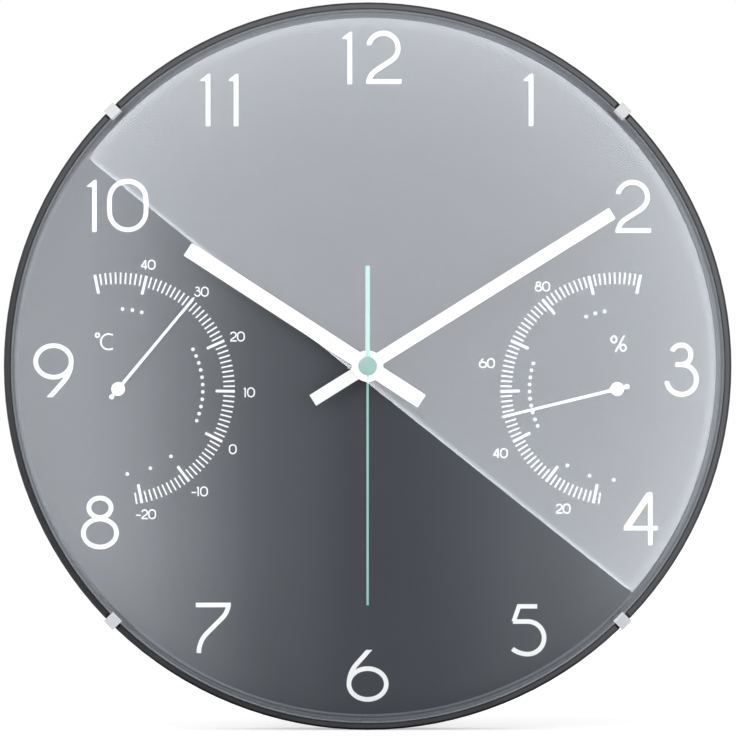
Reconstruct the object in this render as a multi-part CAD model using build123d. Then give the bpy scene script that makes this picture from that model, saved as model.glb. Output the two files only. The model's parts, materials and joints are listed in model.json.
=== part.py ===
from build123d import *
from math import acos, asin, cos, degrees, pi, radians, sin, sqrt, tan
import os

# Round wall clock with a domed glass, a quartz movement and two dial instruments in its face.
# It is modelled lying on its back: x to the right, y to the top of the dial, z from the wall to the
# viewer, with the wall plane at zero. The last step stands it up, dial facing -Y, with the origin
# at the top of the keyhole. All sizes are in millimetres and all angles in degrees.

# Housing
outer_radius = 150
rim_wall = 2.5
rim_rise = 2.5
rim_chamfer = 0.8
ledge_width = 3.0
panel_thickness = 2.2
rear_round = 5.0
rib_count = 8
rib_thickness = 1.8
rib_height = 6.0
ring_rib_gap = 10.7
window_gap = 1.5
window_wall = 2.0
window_wall_height = 9.0
vent_count = 5
vent_width = 3.0
vent_length = 26
vent_pitch = 7.0

# Keyhole that the clock hangs from
hanger_inset = 32
keyhole_slot_radius = 2.4
keyhole_entry_radius = 4.6
keyhole_drop = 10
shroud_half_width = 8.0
shroud_margin = 5.0
shroud_wall = 1.8
shroud_height = 8.0

# Dial, gasket and domed glass
dial_thickness = 1.0
dial_clearance = 0.3
gasket_thickness = 1.0
glass_thickness = 3.0
glass_clearance = 0.3
glass_edge_height = 3.2
shoulder_reach = 3.5
cap_rise = 15.0

# Clips that hold the glass down, one at each diagonal, and their screws
clip_angles = {"upper_right": 45, "upper_left": 135, "lower_left": 225, "lower_right": 315}
clip_thickness = 1.2
clip_width = 5.3
clip_side_gap = 1.0
clip_gap = 0.1
clip_hook_reach = 0.4
clip_top_bend = 1.4
clip_foot_bend = 4.0
clip_foot_length = 13.2
clip_foot_depth = 1.9
clip_slope = 45
boss_width = 13
boss_height = 8.0
boss_margin = 2.0
screw_head_radius = 2.2
screw_head_height = 1.5
screw_radius = 1.25
screw_length = 7.0
screw_end_margin = 5.0
screw_play = 0.05

# AA cell, which sets the width and depth of the movement
battery_radius = 7.25
battery_length = 50.0
battery_nub_radius = 2.75
battery_nub_length = 1.2
battery_round = 0.6
battery_side_gap = 0.25
battery_floor_gap = 0.1
battery_inset = 0.3
contact_thickness = 0.3
contact_play = 0.1
contact_half_height = 3.0
leaf_height = 2.4
leaf_half_length = 5.5

# Movement case
movement_back = 1.2
movement_height = 56
case_wall = 1.3
case_corner = 2.0
case_front_wall = 1.5
bay_floor = 0.9
bay_wall = 1.0
divider_wall = 1.0
cell_notch_width = 16
cell_notch_depth = 6.0
cell_notch_round = 3.0
wheel_room = 0.48
contact_slot = 1.2
cover_recess = 2.0
cover_thickness = 1.2
cover_gap = 0.1
bearing_radius = 1.2
bearing_height = 0.6
bearing_play = 0.08
bearing_depth = 0.4
bridge_thickness = 0.7
bridge_corner = 1.5
post_radius = 1.6
overrun = 1.0

# Bush, washers and nut that clamp the movement to the dial
bush_radius = 4.0
bush_stand = 0.6
rubber_thickness = 1.0
rubber_radius = 12
washer_thickness = 0.5
washer_radius = 6.3
nut_thickness = 2.5
nut_radius = 6.2
hole_clearance = 0.15

# Shafts of the motion work
hour_pipe_radius = 2.5
minute_arbor_radius = 1.75
clutch_hub_radius = 2.25
second_arbor_radius = 0.52
train_arbor_radius = 0.5
rotor_arbor_radius = 0.4
knob_arbor_radius = 1.3
pivot_radius = 0.8
shaft_clearance = 0.08
second_clearance = 0.1

# Gears: tooth counts, modules and the directions from one axis to the next
pressure_angle = 25
tooth_share = 0.42
addendum_share = 0.75
dedendum_share = 1.0
wheel_thickness = 0.7
pinion_overlap = 0.15
pinion_teeth = 8
intermediate_teeth = 40
seconds_teeth = 48
third_teeth = 60
centre_teeth = 64
minute_teeth = 24
hour_teeth = 32
rotor_module = 0.25
seconds_module = 0.30
third_module = 0.34
motion_module = 0.64
third_direction = 60
intermediate_direction = 170
minute_direction = -10
knob_direction = 20

# Height of each wheel, as a share of the space between the cover and the front wall
intermediate_share = 0.075
seconds_share = 0.21
third_share = 0.345
bridge_share = 0.45
centre_share = 0.565
minute_share = 0.72
hour_share = 0.86

# Stepping motor and circuit
magnet_radius = 2.6
magnet_height = 1.8
magnet_gap = 0.4
stator_thickness = 0.7
stator_arm = 3.0
stator_eye_wall = 0.9
core_thickness = 0.7
coil_radius = 3.0
coil_length = 10.5
bobbin_flange = 0.8
bobbin_flange_lip = 0.5
core_margin = 4.5
coil_drop = 8.9
coil_centre_x = -14.2
board_thickness = 0.8
board_width = 9.3
board_height = 18
board_level_share = 0.72
chip_radius = 2.2
chip_height = 0.8
crystal_radius = 1.0
crystal_length = 6.0

# Setting knob at the back
knob_radius = 5.5
knob_thickness = 1.6
knob_notches = 18
knob_notch_radius = 0.55
knob_inset = 0.2

# Hands
hand_thickness = 0.6
hand_gap = 1.6
collar_gap = 0.3
pipe_stand = 0.2
hand_boss_radius = 6.45
hour_hand_length = 88.3
hour_hand_tail = 26.5
hour_hand_width = 6.1
hour_hand_angle = 303
hour_collar_radius = 3.5
minute_hand_inset = 31.5
minute_hand_tail = 26.6
minute_hand_width = 5.15
minute_hand_angle = 58
minute_collar_radius = 2.7
second_hand_length = 98.2
second_hand_tail = 41.3
second_hand_width = 1.45
second_tail_width = 2.35
second_hand_angle = 180
second_hand_thickness = 0.4
second_collar_radius = 1.3
second_cap_radius = 3.8
second_cap_height = 1.0
second_cap_round = 0.4

# Dial instruments
instrument_inset = 47.3
instrument_drop = 9.4
thermometer_angle = 50.3
hygrometer_angle = 193.7
pointer_length = 49.3
pointer_tail = 4.8
pointer_width = 1.45
pointer_point = 1.2
pointer_thickness = 0.4
pointer_lift = 1.6
pointer_hub_radius = 2.85
pointer_hub_height = 0.9
spindle_radius = 0.75
spindle_collar_radius = 3.0
instrument_bush_radius = 2.3
instrument_bush_stand = 0.5
cup_radius = 20
cup_wall = 0.8
cup_back = 6.0
cup_clearance = 1.0
cup_window_count = 4
cup_window_width = 4.0
cup_window_length = 8.0
cup_window_radius = 11.5
coil_strip = 0.5
coil_pitch = 3.6
coil_half_turns = 6
coil_play = 0.1
coil_end_gap = 2.0
coil_post_radius = 1.0

# Radii and heights worked out from the sizes above, from the wall to the viewer
rim_inner = outer_radius - rim_wall
ledge_inner = rim_inner - ledge_width
hanger_height = outer_radius - hanger_inset
minute_hand_length = outer_radius - minute_hand_inset
instrument_reach = outer_radius - instrument_inset
ring_rib_radius = instrument_reach - cup_radius - ring_rib_gap
movement_front = (
    movement_back + battery_inset + 2 * battery_radius + battery_floor_gap + bay_floor
)
dial_back = movement_front + rubber_thickness
dial_front = dial_back + dial_thickness
glass_seat = dial_front + gasket_thickness
rim_front = glass_seat + rim_rise
dial_radius = rim_inner - dial_clearance
glass_radius = rim_inner - glass_clearance
cap_radius = glass_radius - shoulder_reach
sphere_radius = (cap_radius**2 + cap_rise**2) / (2 * cap_rise)
cap_slope = asin(cap_radius / sphere_radius)
shoulder_radius = shoulder_reach / (1 - sin(cap_slope))
shoulder_centre = (glass_radius - shoulder_radius, glass_seat + glass_edge_height)
cap_edge_height = shoulder_centre[1] + shoulder_radius * cos(cap_slope)
glass_apex = cap_edge_height + cap_rise
sphere_centre = glass_apex - sphere_radius

# Wheel levels inside the movement
train_floor = movement_back + cover_recess + cover_thickness
train_roof = movement_front - case_front_wall
train_space = train_roof - train_floor
intermediate_level = train_floor + intermediate_share * train_space
seconds_level = train_floor + seconds_share * train_space
third_level = train_floor + third_share * train_space
bridge_level = train_floor + bridge_share * train_space
centre_level = train_floor + centre_share * train_space
minute_level = train_floor + minute_share * train_space
hour_level = train_floor + hour_share * train_space
board_level = train_floor + board_level_share * train_space
bridge_top = bridge_level + bridge_thickness
pivot_floor = train_floor - bearing_depth
arbor_foot = pivot_floor + bearing_play

# Modules that follow from shared centre distances, and the axes of the train
centre_module = third_module * (pinion_teeth + third_teeth) / (pinion_teeth + centre_teeth)
hour_module = motion_module * (pinion_teeth + minute_teeth) / (pinion_teeth + hour_teeth)


def stepped(start, distance, direction):
    """Point at a distance from another, in a direction."""
    turn = radians(direction)
    return (start[0] + distance * cos(turn), start[1] + distance * sin(turn))


def centre_distance(module, teeth, other_teeth=pinion_teeth):
    return module * (teeth + other_teeth) / 2


centre_axis = (0, 0)
third_axis = stepped(centre_axis, centre_distance(third_module, third_teeth), third_direction)
intermediate_axis = stepped(
    centre_axis, centre_distance(seconds_module, seconds_teeth), intermediate_direction
)
rotor_axis = stepped(
    intermediate_axis, centre_distance(rotor_module, intermediate_teeth), intermediate_direction
)
minute_axis = stepped(centre_axis, centre_distance(motion_module, minute_teeth), minute_direction)
knob_axis = stepped(minute_axis, centre_distance(motion_module, minute_teeth), knob_direction)

# Outline of the movement: its width follows the cell, and its lower edge the centre wheel
centre_tip = centre_module * (centre_teeth / 2 + addendum_share)
bay_high = -(centre_tip + wheel_room + divider_wall)
bay_low = bay_high - 2 * (battery_radius + battery_side_gap)
case_low = bay_low - bay_wall
case_high = case_low + movement_height
inner_half = (battery_length + leaf_height + 2 * contact_thickness + 4 * contact_play) / 2
case_half = inner_half + case_wall
train_low = bay_high + divider_wall
train_high = case_high - case_wall
battery_y = (bay_high + bay_low) / 2
battery_z = movement_back + battery_inset + battery_radius
battery_tip = inner_half - 2 * contact_play - contact_thickness
coil_y = case_high - coil_drop

# Heights of the nut, the hands and the pointers in front of the dial
washer_front = dial_front + washer_thickness
nut_front = washer_front + nut_thickness
bush_front = nut_front + bush_stand
hour_hand_level = bush_front + 2 * collar_gap
hour_hand_front = hour_hand_level + hand_thickness
minute_hand_level = hour_hand_front + hand_gap
minute_hand_front = minute_hand_level + hand_thickness
second_hand_level = minute_hand_front + hand_gap
second_hand_front = second_hand_level + second_hand_thickness
pointer_level = dial_front + pointer_lift

# Angle of a gear that meshes with another: both are counted from a tooth's middle
half_tooth = 0.5


def meshed(teeth, phase, other_teeth, direction):
    """Phase of a gear in mesh with one of a given phase, which lies behind it in a direction."""
    passed = (direction - phase) * teeth / 360
    return direction + 180 - (360 / other_teeth) * (half_tooth - passed)


def involute(angle):
    return tan(angle) - angle


# Shapes used all over the model


def disc(radius, low, high, at=(0, 0)):
    """Upright cylinder between two heights."""
    whole = Cylinder(radius, high - low, align=(Align.CENTER, Align.CENTER, Align.MIN))
    return Pos(at[0], at[1], low) * whole


def ring(inner, outer, low, high, at=(0, 0)):
    return disc(outer, low, high, at) - disc(inner, low, high, at)


def block(left, right, bottom, top, low, high):
    """Box between two values on each axis."""
    whole = Box(
        right - left, top - bottom, high - low, align=(Align.MIN, Align.MIN, Align.MIN)
    )
    return Pos(left, bottom, low) * whole


def plate(face, low, high):
    """Flat face raised between two heights."""
    return extrude(Pos(0, 0, low) * face, amount=high - low, dir=(0, 0, 1))


def turned(face):
    """Solid made by turning a face drawn as radius and height."""
    return revolve(Plane.XZ * face, axis=Axis.Z)


def outline(points):
    return make_face(Polyline(*points, close=True))


def rounded_box(left, right, bottom, top, low, high, corner):
    upright = block(left, right, bottom, top, low, high)
    return fillet(upright.edges().filter_by(Axis.Z), corner)


def ribbon(points, width):
    """Flat face of one width along an open run of points, mitred at its corners."""
    runs = [
        (Vector(*b) - Vector(*a)).normalized() for a, b in zip(points[:-1], points[1:])
    ]
    left, right = [], []
    for place, point in enumerate(points):
        before = runs[max(place - 1, 0)]
        after = runs[min(place, len(runs) - 1)]
        first = Vector(-before.Y, before.X)
        second = Vector(-after.Y, after.X)
        side = (first + second) * (width / 2 / (1 + first.dot(second)))
        left.append(Vector(*point) + side)
        right.append(Vector(*point) - side)
    return outline(left + right[::-1])


def gear_face(teeth, module, phase, fine=False):
    """Toothed outline: a pinion's flanks have a point on the pitch circle too."""
    pressure = radians(pressure_angle)
    pitch = teeth * module / 2
    base = pitch * cos(pressure)
    root = pitch - dedendum_share * module
    tip = pitch + addendum_share * module
    radii = [root, pitch, tip] if fine else [root, tip]

    def half_angle(radius):
        rolled = involute(acos(min(1, base / radius)))
        return tooth_share * pi / teeth + involute(pressure) - rolled

    points = []
    for tooth in range(teeth):
        middle = radians(phase) + 2 * pi * tooth / teeth
        flank = [(radius, half_angle(radius)) for radius in radii]
        rising = [(radius, middle - half) for radius, half in flank]
        falling = [(radius, middle + half) for radius, half in reversed(flank)]
        points += [(radius * cos(turn), radius * sin(turn)) for radius, turn in rising + falling]
    return outline(points)


def gear(teeth, module, phase, low, high, at):
    face = gear_face(teeth, module, phase, fine=teeth == pinion_teeth)
    return plate(Pos(at[0], at[1]) * face, low, high)


# Phases at rest, each found from the gear that it meshes with
third_pinion_phase = 0
centre_phase = meshed(pinion_teeth, third_pinion_phase, centre_teeth, third_direction + 180)
seconds_pinion_phase = 0
third_phase = meshed(pinion_teeth, seconds_pinion_phase, third_teeth, third_direction)
intermediate_pinion_phase = 0
seconds_phase = meshed(
    pinion_teeth, intermediate_pinion_phase, seconds_teeth, intermediate_direction + 180
)
intermediate_phase = 0
rotor_phase = meshed(intermediate_teeth, intermediate_phase, pinion_teeth, intermediate_direction)
minute_pinion_phase = 0
minute_wheel_phase = meshed(pinion_teeth, minute_pinion_phase, minute_teeth, minute_direction)
knob_phase = meshed(minute_teeth, minute_wheel_phase, pinion_teeth, knob_direction)
minute_wheel_pinion_phase = 0
hour_phase = meshed(
    pinion_teeth, minute_wheel_pinion_phase, hour_teeth, minute_direction + 180
)


# Housing, dial and glass


def housing_shell():
    profile = outline(
        [
            (0, 0),
            (outer_radius, 0),
            (outer_radius, rim_front - rim_chamfer),
            (outer_radius - rim_chamfer, rim_front),
            (rim_inner, rim_front),
            (rim_inner, dial_back),
            (ledge_inner, dial_back),
            (ledge_inner, panel_thickness),
            (0, panel_thickness),
        ]
    )
    corner = profile.vertices().sort_by_distance((outer_radius, 0, 0))[0]
    return turned(fillet(corner, rear_round))


def housing_ribs():
    """Spokes and a ring on the inside of the back, cut away round the two cups."""
    top = panel_thickness + rib_height
    half = rib_thickness / 2
    ribs = ring(ring_rib_radius - half, ring_rib_radius + half, 0, top)
    reach = ledge_inner + ledge_width / 2
    for spoke in range(rib_count):
        turn = 360 * (spoke + half_tooth) / rib_count
        ribs += Rot(0, 0, turn) * block(0, reach, -half, half, 0, top)
    for side in (-1, 1):
        place = (side * instrument_reach, -instrument_drop)
        ribs -= disc(cup_radius + cup_clearance, panel_thickness, top, place)
    return ribs


def window(margin, low, high):
    """Upright block around the movement, wider by a margin."""
    half = case_half + margin
    return block(-half, half, case_low - margin, case_high + margin, low, high)


def keyhole(low, high):
    slot_foot = hanger_height - keyhole_drop
    opening = disc(keyhole_entry_radius, low, high, (0, slot_foot))
    opening += disc(keyhole_slot_radius, low, high, (0, hanger_height))
    neck = block(
        -keyhole_slot_radius, keyhole_slot_radius, slot_foot, hanger_height, low, high
    )
    return opening + neck


def keyhole_shroud():
    """Low wall round the keyhole, inside the housing."""
    low_end = hanger_height - keyhole_drop - keyhole_entry_radius - shroud_margin
    high_end = hanger_height + keyhole_slot_radius + shroud_margin
    top = panel_thickness + shroud_height
    inside = block(-shroud_half_width, shroud_half_width, low_end, high_end, 0, top)
    outer_half = shroud_half_width + shroud_wall
    outside = block(
        -outer_half, outer_half, low_end - shroud_wall, high_end + shroud_wall, 0, top
    )
    return outside - inside


def vents(side):
    """Slots that let the room's air reach an instrument."""
    slots = []
    for row in range(vent_count):
        offset = (row - (vent_count - 1) / 2) * vent_pitch
        centre_x = side * instrument_reach + offset
        slots.append(
            block(
                centre_x - vent_width / 2,
                centre_x + vent_width / 2,
                -instrument_drop - vent_length / 2,
                -instrument_drop + vent_length / 2,
                -overrun,
                panel_thickness + overrun,
            )
        )
    return slots


clip_leg_radius = outer_radius + clip_gap + clip_thickness / 2
clip_foot_height = clip_foot_depth + clip_thickness / 2
clip_foot_inner = clip_leg_radius - clip_foot_bend - clip_foot_length
screw_place = clip_foot_inner + screw_end_margin
screw_top = clip_foot_depth + screw_length
boss_inner = clip_foot_inner - boss_margin


def clip_path():
    """Middle line of a clip, drawn as radius and height."""
    stand = shoulder_radius + clip_gap / 2 + clip_thickness / 2
    slope = radians(clip_slope)
    touch = (
        shoulder_centre[0] + stand * sin(slope),
        shoulder_centre[1] + stand * cos(slope),
    )
    tip = (touch[0] - clip_hook_reach * cos(slope), touch[1] + clip_hook_reach * sin(slope))
    fall = (clip_leg_radius - touch[0]) * tan(slope)
    knee = (clip_leg_radius, touch[1] - fall)
    heel = (clip_leg_radius, clip_foot_height)
    toe = (clip_foot_inner, clip_foot_height)
    return tip, knee, heel, toe


def glass_clip(turn):
    points = [(radius, 0, height) for radius, height in clip_path()]
    path = FilletPolyline(*points, radius=[clip_top_bend, clip_foot_bend])
    start = Plane(origin=path @ 0, x_dir=(0, 1, 0), z_dir=path % 0)
    strip = sweep(start * Rectangle(clip_width, clip_thickness), path=path)
    hole = disc(
        screw_radius + screw_play, 0, clip_foot_depth + 2 * clip_thickness, (screw_place, 0)
    )
    return Rot(0, 0, turn) * (strip - hole)


def clip_boss(turn):
    """Thick pad in the back that a clip's foot is screwed to."""
    half = boss_width / 2
    reach = ledge_inner + ledge_width / 2
    pad = block(boss_inner, reach, -half, half, 0, panel_thickness + boss_height)
    return Rot(0, 0, turn) * pad


def clip_recess(turn):
    """Room for a clip's foot, heel and hook, and the hole for its screw."""
    half = clip_width / 2 + clip_side_gap
    heel = clip_leg_radius - clip_foot_bend
    heel_height = clip_foot_height + clip_foot_bend
    foot_top = clip_foot_depth + clip_thickness + clip_gap
    bend = clip_foot_bend - clip_thickness / 2 - clip_gap
    beyond = outer_radius + overrun
    foot = block(clip_foot_inner - clip_gap, heel, -half, half, -overrun, foot_top)
    corner = block(heel, beyond, -half, half, -overrun, heel_height)
    inside = Pos(heel, 0, heel_height) * Rot(90, 0, 0) * Cylinder(bend, 2 * half)
    notch = block(rim_inner, beyond, -half, half, glass_seat, rim_front + overrun)
    pilot = disc(screw_radius + screw_play, 0, screw_top + screw_play, (screw_place, 0))
    return Rot(0, 0, turn) * (foot + (corner - inside) + notch + pilot)


def clip_screw(turn):
    head = disc(
        screw_head_radius, clip_foot_depth - screw_head_height, clip_foot_depth, (screw_place, 0)
    )
    shank = disc(screw_radius, clip_foot_depth, screw_top, (screw_place, 0))
    return Rot(0, 0, turn) * (head + shank)


def back_housing():
    body = housing_shell() + housing_ribs() + keyhole_shroud()
    body += window(window_gap + window_wall, 0, panel_thickness + window_wall_height)
    for turn in clip_angles.values():
        body += clip_boss(turn)
    body -= window(window_gap, -overrun, dial_back)
    body -= keyhole(-overrun, panel_thickness + overrun)
    for side in (-1, 1):
        body -= vents(side)
    for turn in clip_angles.values():
        body -= clip_recess(turn)
    return body


def dial_plate():
    body = disc(dial_radius, dial_back, dial_front)
    body -= disc(bush_radius + hole_clearance, dial_back, dial_front)
    for side in (-1, 1):
        place = (side * instrument_reach, -instrument_drop)
        body -= disc(instrument_bush_radius + hole_clearance, dial_back, dial_front, place)
    return body


def glass_gasket():
    return ring(glass_radius - glass_thickness, dial_radius, dial_front, glass_seat)


def dome_glass():
    """Spherical cap that turns down through a rounded shoulder to an upright edge."""
    outside, inside = shoulder_radius, shoulder_radius - glass_thickness
    centre_r, centre_z = shoulder_centre

    def shoulder(radius):
        top = (centre_r + radius * sin(cap_slope), centre_z + radius * cos(cap_slope))
        middle_turn = (cap_slope + pi / 2) / 2
        middle = (
            centre_r + radius * sin(middle_turn),
            centre_z + radius * cos(middle_turn),
        )
        return ThreePointArc(top, middle, (centre_r + radius, centre_z))

    def cap(radius, shoulder_arc):
        half_way = cap_slope / 2
        apex = (0, sphere_centre + radius)
        middle = (radius * sin(half_way), sphere_centre + radius * cos(half_way))
        return ThreePointArc(apex, middle, shoulder_arc @ 0)

    outer_shoulder, inner_shoulder = shoulder(outside), shoulder(inside)
    outer_cap = cap(sphere_radius, outer_shoulder)
    inner_cap = cap(sphere_radius - glass_thickness, inner_shoulder)
    edge = [
        Line(outer_shoulder @ 1, (centre_r + outside, glass_seat)),
        Line((centre_r + outside, glass_seat), (centre_r + inside, glass_seat)),
        Line((centre_r + inside, glass_seat), inner_shoulder @ 1),
    ]
    axis_line = Line(inner_cap @ 0, outer_cap @ 0)
    return turned(
        make_face([outer_cap, outer_shoulder, *edge, inner_shoulder, inner_cap, axis_line])
    )


# Movement case and the pieces that clamp it to the dial


def cell_notch():
    """Finger room in the lower wall of the bay, to lift the cell out by."""
    half = cell_notch_width / 2
    low, high = movement_back - overrun, movement_back + cell_notch_depth
    cut = block(-half, half, case_low - overrun, bay_low, low, high)
    corners = cut.edges().filter_by(Axis.Y).group_by(Axis.Z)[-1]
    return fillet(corners, cell_notch_round)


def movement_case():
    body = rounded_box(
        -case_half, case_half, case_low, case_high, movement_back, movement_front, case_corner
    )
    body -= block(-inner_half, inner_half, train_low, train_high, movement_back, train_roof)
    bay_roof = movement_front - bay_floor
    body -= block(-inner_half, inner_half, bay_low, bay_high, movement_back, bay_roof)
    for side in (-1, 1):
        edges = sorted((side * inner_half, side * (inner_half - contact_slot)))
        body -= block(*edges, bay_high, train_low, movement_back, board_level)
    body -= cell_notch()
    body += disc(bush_radius, train_roof, bush_front)
    for place in bridge_posts():
        body += disc(post_radius, bridge_top, train_roof, place)
    for place in board_posts():
        body += disc(bearing_radius, board_level + board_thickness, train_roof, place)
    body += disc(pivot_radius, minute_level - pinion_overlap, train_roof, minute_axis)
    third_end = centre_level + wheel_thickness + 2 * pinion_overlap
    third_boss = ring(
        train_arbor_radius + bearing_play, bearing_radius, third_end, train_roof, third_axis
    )
    knob_boss = ring(
        pivot_radius + bearing_play, bearing_radius, hour_level, train_roof, knob_axis
    )
    body += third_boss + knob_boss
    body -= disc(hour_pipe_radius + shaft_clearance, train_roof - overrun, bush_front)
    return body


def bridge_extent():
    left = rotor_axis[0] - post_radius - coil_radius - stator_arm
    right = third_axis[0] + 3 * post_radius
    return left, right, train_low + wheel_room, third_axis[1] + 2 * post_radius


def bridge_posts():
    left, right, bottom, top = bridge_extent()
    inset = post_radius + bridge_thickness / 2
    return [(left + inset, bottom + inset), (left + inset, top - inset), (right - inset, top - inset)]


def board_extent():
    right = inner_half - contact_play
    top = train_high - contact_play
    return right - board_width, right, top - board_height, top


def board_posts():
    left, right, bottom, top = board_extent()
    inset = 2 * bearing_radius
    return [(left + inset, bottom + inset), (right - inset, top - inset)]


def stator_posts():
    return [
        (coil_centre_x - coil_length / 2 - core_margin / 2, rotor_axis[1] + 2 * stator_arm),
        (coil_centre_x + coil_length / 2 + core_margin / 2, coil_y - stator_arm),
    ]


def movement_cover():
    """Back cover, with a cupped bearing for each arbor and two feet for the stator."""
    level = movement_back + cover_recess
    reach = inner_half - cover_gap
    body = block(-reach, reach, train_low + cover_gap, train_high - cover_gap, level, train_floor)
    boss_top = train_floor + bearing_height
    arbors = {
        rotor_axis: rotor_arbor_radius,
        intermediate_axis: train_arbor_radius,
        third_axis: train_arbor_radius,
        centre_axis: second_arbor_radius,
    }
    for place in arbors:
        body += disc(bearing_radius, train_floor, boss_top, place)
    for place in stator_posts():
        body += disc(bearing_radius, train_floor, stator_level, place)
    for place, radius in arbors.items():
        body -= disc(radius + bearing_play, pivot_floor, boss_top, place)
    body -= disc(knob_arbor_radius + bearing_play, level, train_floor, knob_axis)
    return body


def train_bridge():
    """Middle plate that carries the front pivots of the fast wheels."""
    left, right, bottom, top = bridge_extent()
    body = rounded_box(left, right, bottom, top, bridge_level, bridge_top, bridge_corner)
    pinion_tip = centre_module * (pinion_teeth / 2 + addendum_share)
    body -= disc(pinion_tip + wheel_room, bridge_level, bridge_top, third_axis)
    body -= disc(second_arbor_radius + bearing_play, bridge_level, bridge_top)
    body -= disc(train_arbor_radius + bearing_play, bridge_level, bridge_top, intermediate_axis)
    body -= disc(rotor_arbor_radius + bearing_play, bridge_level, bridge_top, rotor_axis)
    return body


def rubber_washer():
    return ring(bush_radius + hole_clearance, rubber_radius, movement_front, dial_back)


def nut_washer():
    return ring(bush_radius + hole_clearance, washer_radius, dial_front, washer_front)


def hex_nut():
    blank = plate(RegularPolygon(nut_radius, 6), washer_front, nut_front)
    return blank - disc(bush_radius, washer_front, nut_front)


# Gear train and motion work


def hour_wheel():
    """Hour wheel with the pipe that carries the hour hand."""
    pipe_front = hour_hand_front + pipe_stand
    body = gear(
        hour_teeth, hour_module, hour_phase, hour_level, hour_level + wheel_thickness, centre_axis
    )
    body += disc(hour_pipe_radius, hour_level, pipe_front)
    return body - disc(minute_arbor_radius + shaft_clearance, hour_level, pipe_front)


def minute_arbor():
    """Hollow arbor with the clutch hub, the minute pinion and the seat of the minute hand."""
    foot = bridge_top + pinion_overlap
    pinion_low = minute_level - 2 * pinion_overlap
    pinion_high = minute_level + wheel_thickness + pinion_overlap
    top = minute_hand_front + pipe_stand
    body = disc(clutch_hub_radius, foot, pinion_low)
    body += gear(
        pinion_teeth, motion_module, minute_pinion_phase, pinion_low, pinion_high, centre_axis
    )
    body += disc(minute_arbor_radius, pinion_high, top)
    return body - disc(second_arbor_radius + second_clearance, foot, top)


def centre_wheel():
    """Toothed rim that turns the minute arbor through a slipping seat."""
    high = centre_level + wheel_thickness
    rim = gear(centre_teeth, centre_module, centre_phase, centre_level, high, centre_axis)
    return rim - disc(clutch_hub_radius + shaft_clearance, centre_level, high)


def third_wheel():
    wheel_top = third_level + wheel_thickness
    pinion_top = centre_level + wheel_thickness + pinion_overlap
    body = gear(third_teeth, third_module, third_phase, third_level, wheel_top, third_axis)
    body += gear(
        pinion_teeth, centre_module, third_pinion_phase, wheel_top, pinion_top, third_axis
    )
    return body + disc(train_arbor_radius, arbor_foot, minute_level + wheel_thickness, third_axis)


def seconds_wheel():
    """Seconds wheel, its pinion and the long arbor that carries the second hand."""
    wheel_top = seconds_level + wheel_thickness
    pinion_top = third_level + wheel_thickness + pinion_overlap
    body = gear(
        seconds_teeth, seconds_module, seconds_phase, seconds_level, wheel_top, centre_axis
    )
    body += gear(
        pinion_teeth, third_module, seconds_pinion_phase, wheel_top, pinion_top, centre_axis
    )
    return body + disc(second_arbor_radius, arbor_foot, second_hand_level)


def intermediate_wheel():
    wheel_top = intermediate_level + wheel_thickness
    pinion_top = seconds_level + wheel_thickness + pinion_overlap
    body = gear(
        intermediate_teeth,
        rotor_module,
        intermediate_phase,
        intermediate_level,
        wheel_top,
        intermediate_axis,
    )
    body += gear(
        pinion_teeth,
        seconds_module,
        intermediate_pinion_phase,
        wheel_top,
        pinion_top,
        intermediate_axis,
    )
    return body + disc(train_arbor_radius, arbor_foot, bridge_top, intermediate_axis)


magnet_low = intermediate_level + wheel_thickness + magnet_gap
stator_level = magnet_low + (magnet_height - stator_thickness) / 2


def rotor():
    """Magnet, pinion and arbor of the stepping motor."""
    pinion_low = intermediate_level - pinion_overlap
    pinion_top = intermediate_level + wheel_thickness + pinion_overlap
    body = gear(pinion_teeth, rotor_module, rotor_phase, pinion_low, pinion_top, rotor_axis)
    body += disc(magnet_radius, magnet_low, magnet_low + magnet_height, rotor_axis)
    return body + disc(rotor_arbor_radius, arbor_foot, bridge_top, rotor_axis)


def minute_wheel():
    wheel_top = minute_level + wheel_thickness
    pinion_top = hour_level + wheel_thickness + pinion_overlap
    body = gear(
        minute_teeth, motion_module, minute_wheel_phase, minute_level, wheel_top, minute_axis
    )
    body += gear(
        pinion_teeth, hour_module, minute_wheel_pinion_phase, wheel_top, pinion_top, minute_axis
    )
    return body - disc(pivot_radius + shaft_clearance, minute_level, pinion_top, minute_axis)


def setting_knob():
    """Knob at the back, with the arbor and pinion that set the hands."""
    knob_low = movement_back + knob_inset
    knob_top = knob_low + knob_thickness
    pinion_low = minute_level - pinion_overlap
    pinion_top = minute_level + wheel_thickness + pinion_overlap
    body = disc(knob_radius, knob_low, knob_top, knob_axis)
    for notch in range(knob_notches):
        place = stepped(knob_axis, knob_radius, 360 * notch / knob_notches)
        body -= disc(knob_notch_radius, knob_low, knob_top, place)
    body += disc(knob_arbor_radius, knob_top, pinion_low, knob_axis)
    body += gear(pinion_teeth, motion_module, knob_phase, pinion_low, pinion_top, knob_axis)
    return body + disc(pivot_radius, pinion_top, train_roof - bearing_play, knob_axis)


# Stepping motor, circuit and power


def stator():
    """Soft iron plate: an eye round the rotor and two arms up to the ends of the coil."""
    eye = magnet_radius + magnet_gap
    left = coil_centre_x - coil_length / 2 - core_margin / 2
    right = coil_centre_x + coil_length / 2 + core_margin / 2
    top = coil_y + stator_arm / 2
    far_arm = ribbon([rotor_axis, (left, rotor_axis[1]), (left, top)], stator_arm)
    bend = (right, rotor_axis[1] + 3 * stator_arm)
    near_start = stepped(rotor_axis, stator_arm, 90)
    near_arm = ribbon([near_start, bend, (right, top)], stator_arm)
    around = Pos(rotor_axis[0], rotor_axis[1]) * Circle(eye + stator_eye_wall)
    face = far_arm + near_arm + around
    face -= Pos(rotor_axis[0], rotor_axis[1]) * Circle(eye)
    return plate(face, stator_level, stator_level + stator_thickness)


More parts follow.
